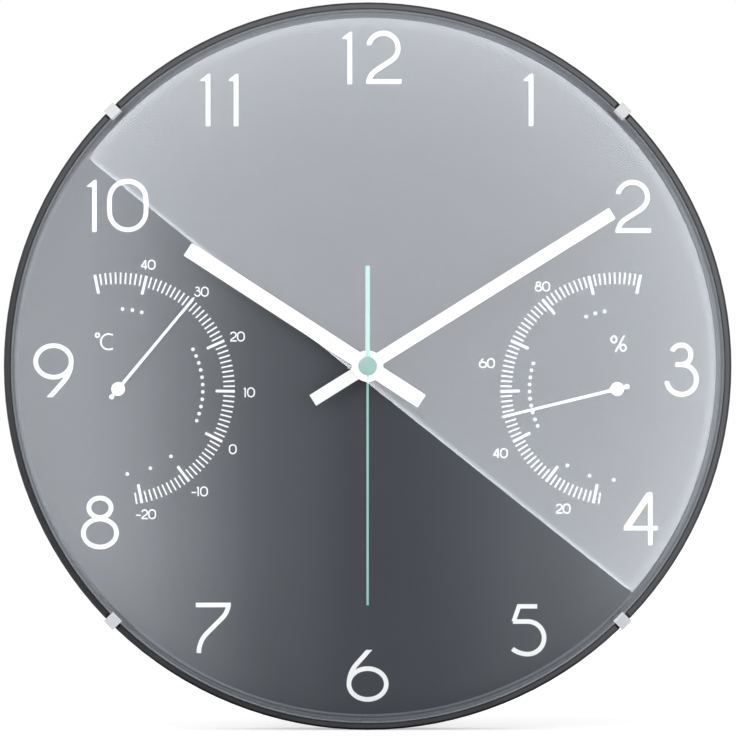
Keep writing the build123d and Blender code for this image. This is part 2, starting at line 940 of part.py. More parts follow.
def motor_coil():
    """Winding on its bobbin, with the core that lies on the stator's arms."""
    core_low = stator_level + stator_thickness
    core_middle = core_low + core_thickness / 2
    half = coil_length / 2
    reach = half + core_margin
    body = block(
        coil_centre_x - reach,
        coil_centre_x + reach,
        coil_y - stator_arm / 2,
        coil_y + stator_arm / 2,
        core_low,
        core_low + core_thickness,
    )
    centre = Pos(coil_centre_x, coil_y, core_middle) * Rot(0, 90, 0)
    body += centre * Cylinder(coil_radius, coil_length)
    for side in (-1, 1):
        flange = Cylinder(coil_radius + bobbin_flange_lip, bobbin_flange)
        body += Pos(side * half, 0, 0) * centre * flange
    return body


def circuit_board():
    left, right, bottom, top = board_extent()
    board = block(left, right, bottom, top, board_level, board_level + board_thickness)
    middle = (left + board_width / 2, top - board_height / 4)
    return board + disc(chip_radius, board_level - chip_height, board_level, middle)


def quartz_crystal():
    left, right, bottom, top = board_extent()
    middle = Pos(left + board_width / 2, bottom + board_height / 3, board_level - crystal_radius)
    return middle * Rot(90, 0, 0) * Cylinder(crystal_radius, crystal_length)


contact_low = battery_z - contact_half_height
wall_line = inner_half - contact_play - contact_thickness / 2


def contact_positive():
    """Spring strip from the nub of the cell to the circuit board."""
    top = board_extent()[2] + stator_arm
    face = ribbon(
        [(wall_line, battery_y - leaf_half_length), (wall_line, top)], contact_thickness
    )
    return plate(face, contact_low, board_level)


def contact_negative():
    """Strip from the bent leaf at the flat end of the cell, along two walls to the board."""
    leaf_line = wall_line - leaf_height + contact_thickness
    top = train_high - contact_play - contact_thickness / 2
    face = ribbon(
        [
            (-leaf_line, battery_y),
            (-wall_line, battery_y - leaf_half_length),
            (-wall_line, top),
            (board_extent()[0] + stator_arm, top),
        ],
        contact_thickness,
    )
    return plate(face, contact_low, board_level)


def battery():
    shoulder = battery_length - battery_nub_length
    profile = outline(
        [
            (0, 0),
            (battery_radius, 0),
            (battery_radius, shoulder),
            (battery_nub_radius, shoulder),
            (battery_nub_radius, battery_length),
            (0, battery_length),
        ]
    )
    corners = profile.vertices().group_by(Axis.X)[-1]
    standing = turned(fillet(corners, battery_round))
    start = battery_tip - battery_length
    return Pos(start, battery_y, battery_z) * Rot(0, 90, 0) * standing


# Hands


def baton(length, tail, width, low, high, turn):
    """Parallel hand that points up the dial, turned clockwise by an angle."""
    bar = block(-width / 2, width / 2, -tail, length, low, high)
    return Rot(0, 0, -turn) * bar


def hour_hand():
    body = baton(
        hour_hand_length,
        hour_hand_tail,
        hour_hand_width,
        hour_hand_level,
        hour_hand_front,
        hour_hand_angle,
    )
    body += disc(hand_boss_radius, hour_hand_level, hour_hand_front)
    body += disc(hour_collar_radius, bush_front + collar_gap, hour_hand_level)
    return body - disc(hour_pipe_radius, bush_front, hour_hand_front)


def minute_hand():
    body = baton(
        minute_hand_length,
        minute_hand_tail,
        minute_hand_width,
        minute_hand_level,
        minute_hand_front,
        minute_hand_angle,
    )
    body += disc(hand_boss_radius, minute_hand_level, minute_hand_front)
    collar_foot = hour_hand_front + pipe_stand + collar_gap
    body += disc(minute_collar_radius, collar_foot, minute_hand_level)
    return body - disc(minute_arbor_radius, collar_foot, minute_hand_front)


def second_hand():
    """Thin hand with a wider tail and a round cap over the arbor."""
    low, high = second_hand_level, second_hand_front
    half, tail_half = second_hand_width / 2, second_tail_width / 2
    face = outline(
        [
            (-tail_half, -second_hand_tail),
            (tail_half, -second_hand_tail),
            (tail_half, 0),
            (half, second_cap_radius),
            (half, second_hand_length),
            (-half, second_hand_length),
            (-half, second_cap_radius),
            (-tail_half, 0),
        ]
    )
    body = Rot(0, 0, -second_hand_angle) * plate(face, low, high)
    cap = disc(second_cap_radius, low, high + second_cap_height)
    rim = cap.edges().group_by(Axis.Z)[-1]
    body += fillet(rim, second_cap_round)
    foot = minute_hand_front + pipe_stand + collar_gap
    body += disc(second_collar_radius, foot, low)
    return body - disc(second_arbor_radius, foot, low)


# Dial instruments, a thermometer on the left and a hygrometer on the right

cup_front = dial_back - cup_wall
coil_low = cup_back + 3 * cup_wall
coil_high = cup_front - 2 * cup_wall
coil_start = spindle_collar_radius + coil_play + coil_strip / 2
coil_end = coil_start + (coil_half_turns - 1) * coil_pitch / 2


def at_instrument(side, solid):
    return Pos(side * instrument_reach, -instrument_drop, 0) * solid


def instrument_coil(side):
    """Strip wound in half turns about two centres, whose outer end is held by a post."""
    face = None
    for turn in range(coil_half_turns):
        radius = coil_start + turn * coil_pitch / 2
        upper = turn % 2 == 0
        shift = 0 if upper else coil_pitch / 2
        band = Circle(radius + coil_strip / 2) - Circle(radius - coil_strip / 2)
        cut = Rectangle(
            4 * radius, 2 * radius, align=(Align.CENTER, Align.MIN if upper else Align.MAX)
        )
        half_turn = Pos(shift, 0) * (band & cut)
        face = half_turn if face is None else face + half_turn
    return at_instrument(side, plate(face, coil_low, coil_high))


def coil_end_place():
    """Point just outside the outer end of the coil."""
    last_centre = coil_pitch / 2 if coil_half_turns % 2 == 0 else 0
    direction = 1 if coil_half_turns % 2 == 0 else -1
    outer = coil_end + coil_strip / 2 + coil_play + coil_post_radius
    return (last_centre + direction * outer, 0)


def instrument_plate(side):
    """Front plate of an instrument, with the bush that is staked through the dial."""
    bush_top = dial_front + instrument_bush_stand
    body = disc(cup_radius, cup_front, dial_back)
    body += disc(instrument_bush_radius, dial_back, bush_top)
    body += disc(coil_post_radius, coil_low, cup_front, coil_end_place())
    body -= disc(spindle_radius + second_clearance, cup_front, bush_top)
    return at_instrument(side, body)


def instrument_cup(side):
    """Round cup behind the coil, open to the air through windows in its back."""
    back_top = cup_back + cup_wall
    body = disc(cup_radius, cup_back, cup_front)
    body -= disc(cup_radius - cup_wall, back_top, cup_front)
    for place in range(cup_window_count):
        turn = 360 * place / cup_window_count
        body -= Rot(0, 0, turn) * block(
            cup_window_radius - cup_window_length / 2,
            cup_window_radius + cup_window_length / 2,
            -cup_window_width / 2,
            cup_window_width / 2,
            cup_back,
            back_top,
        )
    body -= disc(spindle_radius + second_clearance, cup_back, back_top)
    return at_instrument(side, body)


def instrument_spindle(side):
    body = disc(spindle_radius, cup_back + contact_play, pointer_level)
    return at_instrument(side, body + disc(spindle_collar_radius, coil_low, coil_high))


def instrument_pointer(side, angle):
    """Thin pointer with a short tail and a round hub, drawn pointing right."""
    half = pointer_width / 2
    needle = outline(
        [
            (-pointer_tail, -half),
            (pointer_length - pointer_point, -half),
            (pointer_length, 0),
            (pointer_length - pointer_point, half),
            (-pointer_tail, half),
        ]
    )
    body = plate(needle, pointer_level, pointer_level + pointer_thickness)
    body += disc(pointer_hub_radius, pointer_level, pointer_level + pointer_hub_height)
    return at_instrument(side, Rot(0, 0, angle) * body)


# Every node, in the order in which the clock goes together


def all_nodes():
    nodes = {
        "back_housing": back_housing(),
        "dial_plate": dial_plate(),
        "glass_gasket": glass_gasket(),
        "dome_glass": dome_glass(),
        "clip_screws": Part(children=[clip_screw(turn) for turn in clip_angles.values()]),
        "movement_case": movement_case(),
        "movement_cover": movement_cover(),
        "train_bridge": train_bridge(),
        "rubber_washer": rubber_washer(),
        "nut_washer": nut_washer(),
        "hex_nut": hex_nut(),
        "hour_wheel": hour_wheel(),
        "minute_arbor": minute_arbor(),
        "centre_wheel": centre_wheel(),
        "third_wheel": third_wheel(),
        "seconds_wheel": seconds_wheel(),
        "intermediate_wheel": intermediate_wheel(),
        "rotor": rotor(),
        "minute_wheel": minute_wheel(),
        "setting_knob": setting_knob(),
        "stator": stator(),
        "motor_coil": motor_coil(),
        "circuit_board": circuit_board(),
        "quartz_crystal": quartz_crystal(),
        "contact_positive": contact_positive(),
        "contact_negative": contact_negative(),
        "battery": battery(),
        "hour_hand": hour_hand(),
        "minute_hand": minute_hand(),
        "second_hand": second_hand(),
    }
    for place, turn in clip_angles.items():
        nodes[f"glass_clip_{place}"] = glass_clip(turn)
    instruments = {"thermometer": (-1, thermometer_angle), "hygrometer": (1, hygrometer_angle)}
    for name, (side, angle) in instruments.items():
        nodes[f"{name}_plate"] = instrument_plate(side)
        nodes[f"{name}_cup"] = instrument_cup(side)
        nodes[f"{name}_coil"] = instrument_coil(side)
        nodes[f"{name}_spindle"] = instrument_spindle(side)
        nodes[f"{name}_pointer"] = instrument_pointer(side, angle)
    return nodes


os.makedirs("parts", exist_ok=True)
for node, solid in all_nodes().items():
    standing = Pos(0, 0, -hanger_height) * Rot(90, 0, 0) * solid
    standing.label = node
    export_step(standing, f"parts/{node}.step")
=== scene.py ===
import json
from math import asin, ceil, cos, degrees, hypot, pi, radians, sin, tan

import bpy
from mathutils import Matrix, Vector


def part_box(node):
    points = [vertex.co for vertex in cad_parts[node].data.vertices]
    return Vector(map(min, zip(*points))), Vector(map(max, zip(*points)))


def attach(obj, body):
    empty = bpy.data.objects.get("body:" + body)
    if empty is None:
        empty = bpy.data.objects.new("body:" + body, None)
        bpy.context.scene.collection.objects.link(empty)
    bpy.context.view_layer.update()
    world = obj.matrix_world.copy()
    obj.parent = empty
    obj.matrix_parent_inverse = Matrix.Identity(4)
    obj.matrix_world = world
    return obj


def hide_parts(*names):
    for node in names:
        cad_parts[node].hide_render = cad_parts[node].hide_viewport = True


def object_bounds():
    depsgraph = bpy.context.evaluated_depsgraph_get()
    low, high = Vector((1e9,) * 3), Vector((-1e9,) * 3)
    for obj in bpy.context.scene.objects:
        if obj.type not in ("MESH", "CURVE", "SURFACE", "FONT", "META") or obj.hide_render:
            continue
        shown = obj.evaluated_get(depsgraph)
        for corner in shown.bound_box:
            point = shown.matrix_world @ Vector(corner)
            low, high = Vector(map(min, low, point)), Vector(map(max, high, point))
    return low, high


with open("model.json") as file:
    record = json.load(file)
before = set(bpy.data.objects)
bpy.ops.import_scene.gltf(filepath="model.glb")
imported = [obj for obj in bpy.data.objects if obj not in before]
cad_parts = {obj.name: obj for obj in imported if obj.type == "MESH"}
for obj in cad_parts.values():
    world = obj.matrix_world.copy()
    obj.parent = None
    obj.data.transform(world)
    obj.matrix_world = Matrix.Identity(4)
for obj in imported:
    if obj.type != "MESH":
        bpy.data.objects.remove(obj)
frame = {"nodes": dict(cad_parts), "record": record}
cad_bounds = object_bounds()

# Everything is in metres, in the frame of the CAD model: x to the right, z up, dial facing -Y.
mm = 0.001

# Turn that stands a flat piece up to face the front, and the angle up to which edges shade smooth
upright = (radians(90), 0, 0)
smooth_angle = radians(40)

# Sizes read from the frame
housing_low, housing_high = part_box("back_housing")
dial_low, dial_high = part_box("dial_plate")
glass_low, glass_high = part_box("dome_glass")
outer_radius = (housing_high.x - housing_low.x) / 2
centre_z = (dial_low.z + dial_high.z) / 2
dial_front = dial_low.y
rim_front = housing_low.y
glass_radius = (glass_high.x - glass_low.x) / 2
glass_seat = glass_high.y
glass_apex = glass_low.y

# Polished rim of the housing, and the run in which its skin turns to the texture of the sides
polish_depth, polish_run = 1.2 * mm, 1.0 * mm
polish_roughness = 0.20

# Domed glass
glass_thickness = 3.0 * mm
glass_edge_height = 3.2 * mm
shoulder_reach = 3.5 * mm
cap_rise = 15.0 * mm
spin_steps = 192
cap_steps = 44
cap_end_share, cap_end_steps = 0.03, 12
shoulder_steps = 12
merge_reach = 0.02 * mm
seam_reach = 0.001 * mm

# Cap of the second hand
cap_radius = 3.85 * mm
cap_height = 0.5 * mm
cap_proud = 0.12 * mm
cap_round = 0.1 * mm
cap_sides, cap_round_steps = 96, 4

# Second hand and the needles of the instruments, cut from thin sheet
blade_length, blade_tail = 98.2 * mm, 41.3 * mm
blade_width, blade_tail_width = 0.94 * mm, 1.85 * mm
blade_sink = 1.0 * mm
blade_hub_radius = 3.8 * mm
needle_length, needle_point = 49.3 * mm, 1.2 * mm
needle_root, needle_tip = 1.3 * mm, 1.05 * mm
needle_tail, needle_tail_radius = 4.2 * mm, 1.05 * mm
needle_sink = 0.5 * mm
needle_hub_radius = 2.85 * mm
sheet_thickness = 0.4 * mm
hub_round, hub_round_share = 0.25 * mm, 1 / 3
hub_sides, hub_round_steps = 64, 3
collar_radius = 1.3 * mm
# Angles from the right at which the second hand and the needles point
second_turn, thermometer_turn, hygrometer_turn = -90, 50.3, 193.7

# Dry cell in the movement
cell_round = 0.6 * mm
cell_crimp = 0.9 * mm
plate_sink = 0.3 * mm
nub_radius = 2.75 * mm
nub_height = 1.2 * mm
cell_sides, cell_round_steps = 64, 4
# How squarely a face looks along the cell, on a whole end and on its flat alone
end_facing, flat_facing = 0.9, 0.999

# Marks printed on the back of the movement
mark_pen = 0.6 * mm
sign_reach = 1.4 * mm
sign_x = 19.5 * mm
sign_inset = 3.2 * mm
turn_gap = 1.9 * mm
turn_angle = 120
arrow_length, arrow_half_width = 1.8 * mm, 0.95 * mm

# Print on the dial
print_thickness = 0.10 * mm
print_sink = 0.02 * mm
layer_step = 0.01 * mm
pen_width = 1.90 * mm
arc_step = 6
fewest_steps = 2

# Scales of the two instruments
instrument_x = 102.7 * mm
instrument_z = -9.4 * mm
scale_outer = 48.0 * mm
minor_inner = 43.3 * mm
major_inner = 40.1 * mm
minor_width = 0.66 * mm
major_width = 1.15 * mm
scale_steps, major_step, marks_past = 70, 10, 1
mark_angle = 180 / scale_steps
thermometer_first, hygrometer_first = 101.7, 78.3
label_share = 0.18
label_pen = 0.58 * mm
sign_pen = 0.70 * mm
letter_gap = 3
figure_height = 53.2
dot_radius = 0.75 * mm
dot_sides = 20

# Photograph: side of the frame, and the outer circle of the clock in it, in pixels
photo_side = 736
circle_x, circle_y = 367.64, 366.16
circle_radius = 363.9
pixel = outer_radius / circle_radius
camera_distance = 3.0
sensor_width = 36.0
view_reach = 100

# Depth of the texture of paint, moulded plastic and metal, and how far brushed lines are drawn out
paint_relief, mould_relief, metal_relief = 0.05 * mm, 0.06 * mm, 0.02 * mm
brush_stretch = (0.03, 1.0, 1.0)

# Floor, surround and lamps, each lamp with its power and place
floor_side = 12
floor_glow = (0.46, 0.46, 0.46, 1)
room_level = 0.65
box_side = 2.0
soft_boxes = {"left_box": (44, (-2.2, -1.8, 0.4)), "right_box": (38, (2.4, -1.8, 0.2))}

# Panels beside, over and under the clock, where one at a level of 0 is a black card
panel_reach, panel_fade_share = 2.6, 0.5
left_level, right_level, top_level, bottom_level = 4.8, 4.4, 3.0, 0.0
bottom_forward, bottom_fade_share = 1.2, 0.85

# Cards in front of the clock: the window, and the side card under its slanted edge
card_distance, card_gap = 4.0, 0.2
card_slope, card_drop = 38.6, 0.094
card_corner, card_corner_steps = 0.09, 10
card_sides = 60
card_overlap = 0.05
card_colour = (0.915, 0.948, 1.0, 1)

# Light of the window, which rises towards its round edge and along its sill
window_radius = 2.16
window_level, window_rise = 4.4, 0.3
window_edge_rise, window_edge_power = 0.011, 3.0
sill_width, sill_level = 0.03, 4.8
edge_width, edge_level = 0.11, 2.6

# Light of the side card at places from left to right, and its fade towards the foot
side_radius = 3.4
side_top = 5.0
side_levels = [
    (-3.4, 5.0),
    (-2.1, 3.95),
    (-1.7, 3.65),
    (-1.3, 2.6),
    (-0.8, 1.0),
    (-0.3, 0.27),
    (0.19, 0.03),
    (0.8, 0.5),
    (1.4, 1.25),
    (2.1, 2.7),
]
ramp_start = 0.5
foot_height, foot_end, foot_share = -1.1, -2.1, 0.6


def deselect():
    if bpy.context.object is not None and bpy.context.object.mode != "OBJECT":
        bpy.ops.object.mode_set(mode="OBJECT")
    bpy.ops.object.select_all(action="DESELECT")


deselect()


# Camera


def make_camera():
    data = bpy.data.cameras.new("camera")
    camera = bpy.data.objects.new("camera", data)
    bpy.context.scene.collection.objects.link(camera)
    data.sensor_width = sensor_width
    data.lens = sensor_width * camera_distance / (photo_side * pixel)
    data.clip_end = view_reach
    half = photo_side / 2
    camera.location = (
        (half - circle_x) * pixel,
        rim_front - camera_distance,
        centre_z + (circle_y - half) * pixel,
    )
    camera.rotation_euler = upright
    bpy.context.scene.camera = camera


make_camera()


# Shader node helpers


def show(tree, shader):
    """Put a shader on the output of its material."""
    tree.links.new(shader.outputs[0], tree.nodes["Material Output"].inputs["Surface"])


def new_material(name, kind="ShaderNodeBsdfPrincipled"):
    """Material with one shader on its output."""
    material = bpy.data.materials.new(name)
    material.use_nodes = True
    tree = material.node_tree
    tree.nodes.clear()
    tree.nodes.new("ShaderNodeOutputMaterial")
    shader = tree.nodes.new(kind)
    show(tree, shader)
    return material, tree, shader


def new_group(name, inputs, outputs):
    """Empty shader node group with named inputs (socket type, default) and outputs."""
    tree = bpy.data.node_groups.new(name, "ShaderNodeTree")
    for label, (kind, default) in inputs.items():
        socket = tree.interface.new_socket(label, in_out="INPUT", socket_type=kind)
        socket.default_value = default
    for label, kind in outputs.items():
        tree.interface.new_socket(label, in_out="OUTPUT", socket_type=kind)
    start = tree.nodes.new("NodeGroupInput")
    end = tree.nodes.new("NodeGroupOutput")
    return tree, start, end


NUMBER, COLOUR, VECTOR = "NodeSocketFloat", "NodeSocketColor", "NodeSocketVector"


def feed(tree, socket, value):
    """Link a socket to another one, or set it to a plain value."""
    if isinstance(value, bpy.types.NodeSocket):
        tree.links.new(value, socket)
    elif isinstance(value, tuple):
        socket.default_value = (*value, 1.0)
    else:
        socket.default_value = value


def noise(tree, source, scale, detail=3.0, roughness=0.55):
    node = tree.nodes.new("ShaderNodeTexNoise")
    values = {"Vector": source, "Scale": scale, "Detail": detail, "Roughness": roughness}
    for label, value in values.items():
        feed(tree, node.inputs[label], value)
    return node.outputs["Fac"]


def sums(tree, operation, *values):
    node = tree.nodes.new("ShaderNodeMath")
    node.operation = operation
    for socket, value in zip(node.inputs, values):
        feed(tree, socket, value)
    return node.outputs[0]


def swing(tree, pattern):
    """A pattern between 0 and 1, made to run from -1 to 1."""
    return sums(tree, "MULTIPLY_ADD", pattern, 2.0, -1.0)


def spread(tree, source, low, high, out_low=0.0, out_high=1.0):
    """A value between two levels, spread between two others and held at their ends."""
    node = tree.nodes.new("ShaderNodeMapRange")
    values = {"Value": source, "From Min": low, "From Max": high, "To Min": out_low, "To Max": out_high}
    for label, value in values.items():
        feed(tree, node.inputs[label], value)
    return node.outputs["Result"]


def split(tree, vector):
    """The X, Y and Z of a vector."""
    node = tree.nodes.new("ShaderNodeSeparateXYZ")
    tree.links.new(vector, node.inputs[0])
    return node.outputs


def object_place(tree):
    return tree.nodes.new("ShaderNodeTexCoord").outputs["Object"]


# Finishes that several materials share


def make_speckle():
    """Colour that wanders a little in depth, in broad clouds and in fine grain."""
    tree, start, end = new_group(
        "speckle",
        {
            "Vector": (VECTOR, (0, 0, 0)),
            "Colour": (COLOUR, (0.5, 0.5, 0.5, 1)),
            "Grain scale": (NUMBER, 900.0),
            "Grain depth": (NUMBER, 0.05),
            "Cloud scale": (NUMBER, 18.0),
            "Cloud depth": (NUMBER, 0.04),
        },
        {"Colour": COLOUR},
    )
    place = start.outputs["Vector"]
    grain = noise(tree, place, start.outputs["Grain scale"], detail=2.0)
    cloud = noise(tree, place, start.outputs["Cloud scale"], detail=4.0)
    broad = sums(tree, "MULTIPLY_ADD", swing(tree, cloud), start.outputs["Cloud depth"], 1.0)
    level = sums(tree, "MULTIPLY_ADD", swing(tree, grain), start.outputs["Grain depth"], broad)
    shade = tree.nodes.new("ShaderNodeVectorMath")
    shade.operation = "SCALE"
    tree.links.new(start.outputs["Colour"], shade.inputs[0])
    tree.links.new(level, shade.inputs["Scale"])
    tree.links.new(shade.outputs[0], end.inputs["Colour"])
    return tree


def make_relief():
    """Height of a surface's texture: fine grain over a slow wave."""
    tree, start, end = new_group(
        "relief",
        {
            "Vector": (VECTOR, (0, 0, 0)),
            "Grain scale": (NUMBER, 1500.0),
            "Wave scale": (NUMBER, 120.0),
            "Wave share": (NUMBER, 0.3),
        },
        {"Height": NUMBER},
    )
    place = start.outputs["Vector"]
    grain = noise(tree, place, start.outputs["Grain scale"])
    wave = noise(tree, place, start.outputs["Wave scale"], detail=1.0)
    height = sums(tree, "MULTIPLY_ADD", wave, start.outputs["Wave share"], grain)
    tree.links.new(height, end.inputs["Height"])
    return tree


def make_wear():
    """Roughness that wanders in rubbed patches."""
    tree, start, end = new_group(
        "wear",
        {
            "Vector": (VECTOR, (0, 0, 0)),
            "Roughness": (NUMBER, 0.4),
            "Patch scale": (NUMBER, 30.0),
            "Depth": (NUMBER, 0.12),
        },
        {"Roughness": NUMBER},
    )
    place = start.outputs["Vector"]
    patch = swing(tree, noise(tree, place, start.outputs["Patch scale"], detail=5.0, roughness=0.65))
    rubbed = sums(tree, "MULTIPLY_ADD", patch, start.outputs["Depth"], start.outputs["Roughness"])
    tree.links.new(rubbed, end.inputs["Roughness"])
    return tree


def make_turning():
    """Fine rings that a lathe leaves about the Y axis of a piece."""
    tree, start, end = new_group(
        "turning",
        {"Vector": (VECTOR, (0, 0, 0)), "Ring pitch": (NUMBER, 0.15 * mm)},
        {"Height": NUMBER},
    )
    x, y, z = split(tree, start.outputs["Vector"])
    reach = sums(tree, "SQRT", sums(tree, "MULTIPLY_ADD", x, x, sums(tree, "MULTIPLY", z, z)))
    phase = sums(tree, "DIVIDE", sums(tree, "ADD", reach, y), start.outputs["Ring pitch"])
    tree.links.new(sums(tree, "SINE", sums(tree, "MULTIPLY", phase, 2 * pi)), end.inputs["Height"])
    return tree


def make_brushing():
    """Long fine scratches along one axis of a piece."""
    tree, start, end = new_group(
        "brushing",
        {"Vector": (VECTOR, (0, 0, 0)), "Scale": (NUMBER, 900.0)},
        {"Height": NUMBER},
    )
    stretch = tree.nodes.new("ShaderNodeVectorMath")
    stretch.operation = "MULTIPLY"
    stretch.inputs[1].default_value = brush_stretch
    tree.links.new(start.outputs["Vector"], stretch.inputs[0])
    lines = noise(tree, stretch.outputs[0], start.outputs["Scale"])
    tree.links.new(lines, end.inputs["Height"])
    return tree


speckle, relief, wear = make_speckle(), make_relief(), make_wear()
turning, brushing = make_turning(), make_brushing()


def placed(tree, group, **values):
    """A shared group in a material, with this material's own values."""
    node = tree.nodes.new("ShaderNodeGroup")
    node.node_tree = group
    for label, value in values.items():
        feed(tree, node.inputs[label.replace("_", " ")], value)
    return node


def dress(tree, shader, skin, rubbed, texture, strength, depth):
    """Lead the groups of a finish to its shader, the texture as a bump of one depth."""
    bump = tree.nodes.new("ShaderNodeBump")
    bump.inputs["Strength"].default_value = strength
    bump.inputs["Distance"].default_value = depth
    tree.links.new(texture.outputs["Height"], bump.inputs["Height"])
    tree.links.new(skin.outputs["Colour"], shader.inputs["Base Color"])
    tree.links.new(rubbed.outputs["Roughness"], shader.inputs["Roughness"])
    tree.links.new(bump.outputs["Normal"], shader.inputs["Normal"])


def painted(name, colour, roughness, grain=0.05, cloud=0.03, bump=0.15, gloss=0.5):
    """Paint or ink: fine grain in the colour, a slightly wavy skin."""
    material, tree, shader = new_material(name)
    place = object_place(tree)
    skin = placed(tree, speckle, Vector=place, Colour=colour, Grain_depth=grain, Cloud_depth=cloud)
    rubbed = placed(tree, wear, Vector=place, Roughness=roughness, Depth=0.05)
    texture = placed(tree, relief, Vector=place, Grain_scale=2500.0, Wave_scale=260.0, Wave_share=0.8)
    dress(tree, shader, skin, rubbed, texture, bump, paint_relief)
    shader.inputs["Specular IOR Level"].default_value = gloss
    return material


def moulded(name, colour, roughness, bump=0.35, coat=0.0, gloss=0.5, polished=False):
    """Injection moulded plastic with a spark-eroded skin, smoother at a polished rim."""
    material, tree, shader = new_material(name)
    place = object_place(tree)
    if polished:
        level = rim_front + polish_depth
        depth = split(tree, place)["Y"]
        roughness = spread(tree, depth, level, level + polish_run, polish_roughness, roughness)
    skin = placed(tree, speckle, Vector=place, Colour=colour, Grain_depth=0.12, Cloud_depth=0.08)
    rubbed = placed(tree, wear, Vector=place, Roughness=roughness, Depth=0.10)
    texture = placed(tree, relief, Vector=place, Grain_scale=1400.0, Wave_share=0.15)
    dress(tree, shader, skin, rubbed, texture, bump, mould_relief)
    shader.inputs["Coat Weight"].default_value = coat
    shader.inputs["Specular IOR Level"].default_value = gloss
    return material


def metal(name, colour, roughness, pattern=relief, bump=0.2, metallic=1.0):
    """Metal with turned rings, brushed lines or a fine grain in its skin."""
    material, tree, shader = new_material(name)
    place = object_place(tree)
    skin = placed(tree, speckle, Vector=place, Colour=colour, Grain_depth=0.06, Cloud_depth=0.08)
    rubbed = placed(tree, wear, Vector=place, Roughness=roughness, Patch_scale=160.0, Depth=0.08)
    texture = placed(tree, pattern, Vector=place)
    dress(tree, shader, skin, rubbed, texture, bump, metal_relief)
    shader.inputs["Metallic"].default_value = metallic
    return material


def see_through(tree, shader, share):
    """Let a share of a shader give way to clear air."""
    mixer = tree.nodes.new("ShaderNodeMixShader")
    clear = tree.nodes.new("ShaderNodeBsdfTransparent")
    tree.links.new(share, mixer.inputs["Fac"])
    tree.links.new(shader.outputs[0], mixer.inputs[1])
    tree.links.new(clear.outputs[0], mixer.inputs[2])
    show(tree, mixer)


def clear_glass(name):
    """Glass that lamps shine through."""
    material, tree, shader = new_material(name)
    shader.inputs["Base Color"].default_value = (0.985, 0.99, 0.99, 1)
    shader.inputs["Transmission Weight"].default_value = 1.0
    shader.inputs["IOR"].default_value = 1.5
    shader.inputs["Roughness"].default_value = 0.0
    path = tree.nodes.new("ShaderNodeLightPath")
    through = sums(tree, "MAXIMUM", path.outputs["Is Shadow Ray"], path.outputs["Is Diffuse Ray"])
    see_through(tree, shader, through)
    return material


finishes = {
    "dial": painted("slate_dial_paint", (0.045, 0.051, 0.060), 0.62, grain=0.08, cloud=0.03, gloss=0.15),
    "ink": painted("white_dial_ink", (0.94, 0.94, 0.94), 0.6, grain=0.02, cloud=0.02, gloss=0.2),
    "white_hand": painted("white_hand_enamel", (0.93, 0.93, 0.92), 0.45, grain=0.02, cloud=0.02),
    "mint_hand": painted("mint_hand_enamel", (0.26, 0.56, 0.46), 0.45, grain=0.03, cloud=0.02),
    "mint_cap": painted("dark_mint_enamel", (0.03, 0.20, 0.155), 0.35, grain=0.03, cloud=0.02),
    "housing": moulded(
        "black_housing_plastic", (0.008, 0.008, 0.009), 0.62, bump=0.10, gloss=0.42, polished=True
    ),
    "gasket": painted("slate_gasket_rubber", (0.045, 0.051, 0.060), 0.7, gloss=0.2),
    "glass": clear_glass("clear_dome_glass"),
    # Grey paint on the glass's seat, outer wall and inner shoulder: partly an edge seal, and its light
    # tone is painted light standing in for the reflections of the glass's shoulder band
    "glass_edge": painted("glass_edge_seal_and_painted_band_light", (0.155, 0.168, 0.188), 0.8, grain=0.2, gloss=0.1),
    "clip": metal("satin_clip_steel", (0.68, 0.68, 0.70), 0.35, brushing, bump=0.05, metallic=0.25),
    "screw": metal("plated_screw_steel", (0.66, 0.66, 0.67), 0.28, turning, bump=0.1),
    "case": moulded("black_movement_plastic", (0.020, 0.020, 0.022), 0.45),
    "cover": moulded("dark_cover_plastic", (0.045, 0.046, 0.05), 0.5),
    "gear": moulded("natural_acetal", (0.80, 0.79, 0.73), 0.38, bump=0.1),
    "brass": metal("turned_brass", (0.80, 0.60, 0.28), 0.25, turning),
    "steel": metal("spring_steel", (0.60, 0.60, 0.62), 0.3, brushing),
    "copper": metal("enamelled_copper_wire", (0.72, 0.32, 0.14), 0.25),
    "board": moulded("green_solder_mask", (0.01, 0.13, 0.05), 0.25, bump=0.1, coat=0.5),
    "cell": painted("cell_sleeve", (0.035, 0.036, 0.04), 0.3, grain=0.05, cloud=0.05),
    "knob": moulded("grey_knob_plastic", (0.32, 0.32, 0.33), 0.45),
    "aluminium": metal("pressed_aluminium", (0.78, 0.78, 0.79), 0.35),
    "bimetal": metal("rolled_bimetal_strip", (0.62, 0.50, 0.30), 0.3, brushing),
    "humidity": painted("coated_paper_strip", (0.70, 0.63, 0.46), 0.7, grain=0.15, cloud=0.1),
}

# Material slot of each CAD node
slots = {part["node"]: part["material_slot"] for part in frame["record"]["subparts"]}


def dress_nodes():
    """Each CAD node takes the finish of its material slot."""
    for node, slot_name in slots.items():
        for slot in frame["nodes"][node].material_slots:
            slot.material = finishes[slot_name]


dress_nodes()


# Modelling helpers


def new_piece(name):
    """The object that was just added, under its own name."""
    piece = bpy.context.object
    piece.name = name
    piece.data.name = name
    return piece


def hold(piece):
    """Select one piece alone, and make it the active one."""
    deselect()
    piece.select_set(True)
    bpy.context.view_layer.objects.active = piece


def settle(piece):
    """Place, turn and scale go into the mesh."""
    hold(piece)
    bpy.ops.object.transform_apply(location=True, rotation=True, scale=True)
    return piece


def disc(name, radius, front, back, x, z, sides, rounding=0, steps=1):
    """Round piece that faces the front, with its edges rounded in some steps."""
    bpy.ops.mesh.primitive_cylinder_add(
        radius=radius,
        depth=back - front,
        vertices=sides,
        location=(x, (front + back) / 2, z),
        rotation=upright,
    )
    if rounding:
        bpy.ops.object.mode_set(mode="EDIT")
        bpy.ops.mesh.select_mode(type="FACE")
        bpy.ops.mesh.select_all(action="SELECT")
        bpy.ops.mesh.bevel(offset=rounding, segments=steps)
        bpy.ops.object.mode_set(mode="OBJECT")
    return settle(new_piece(name))


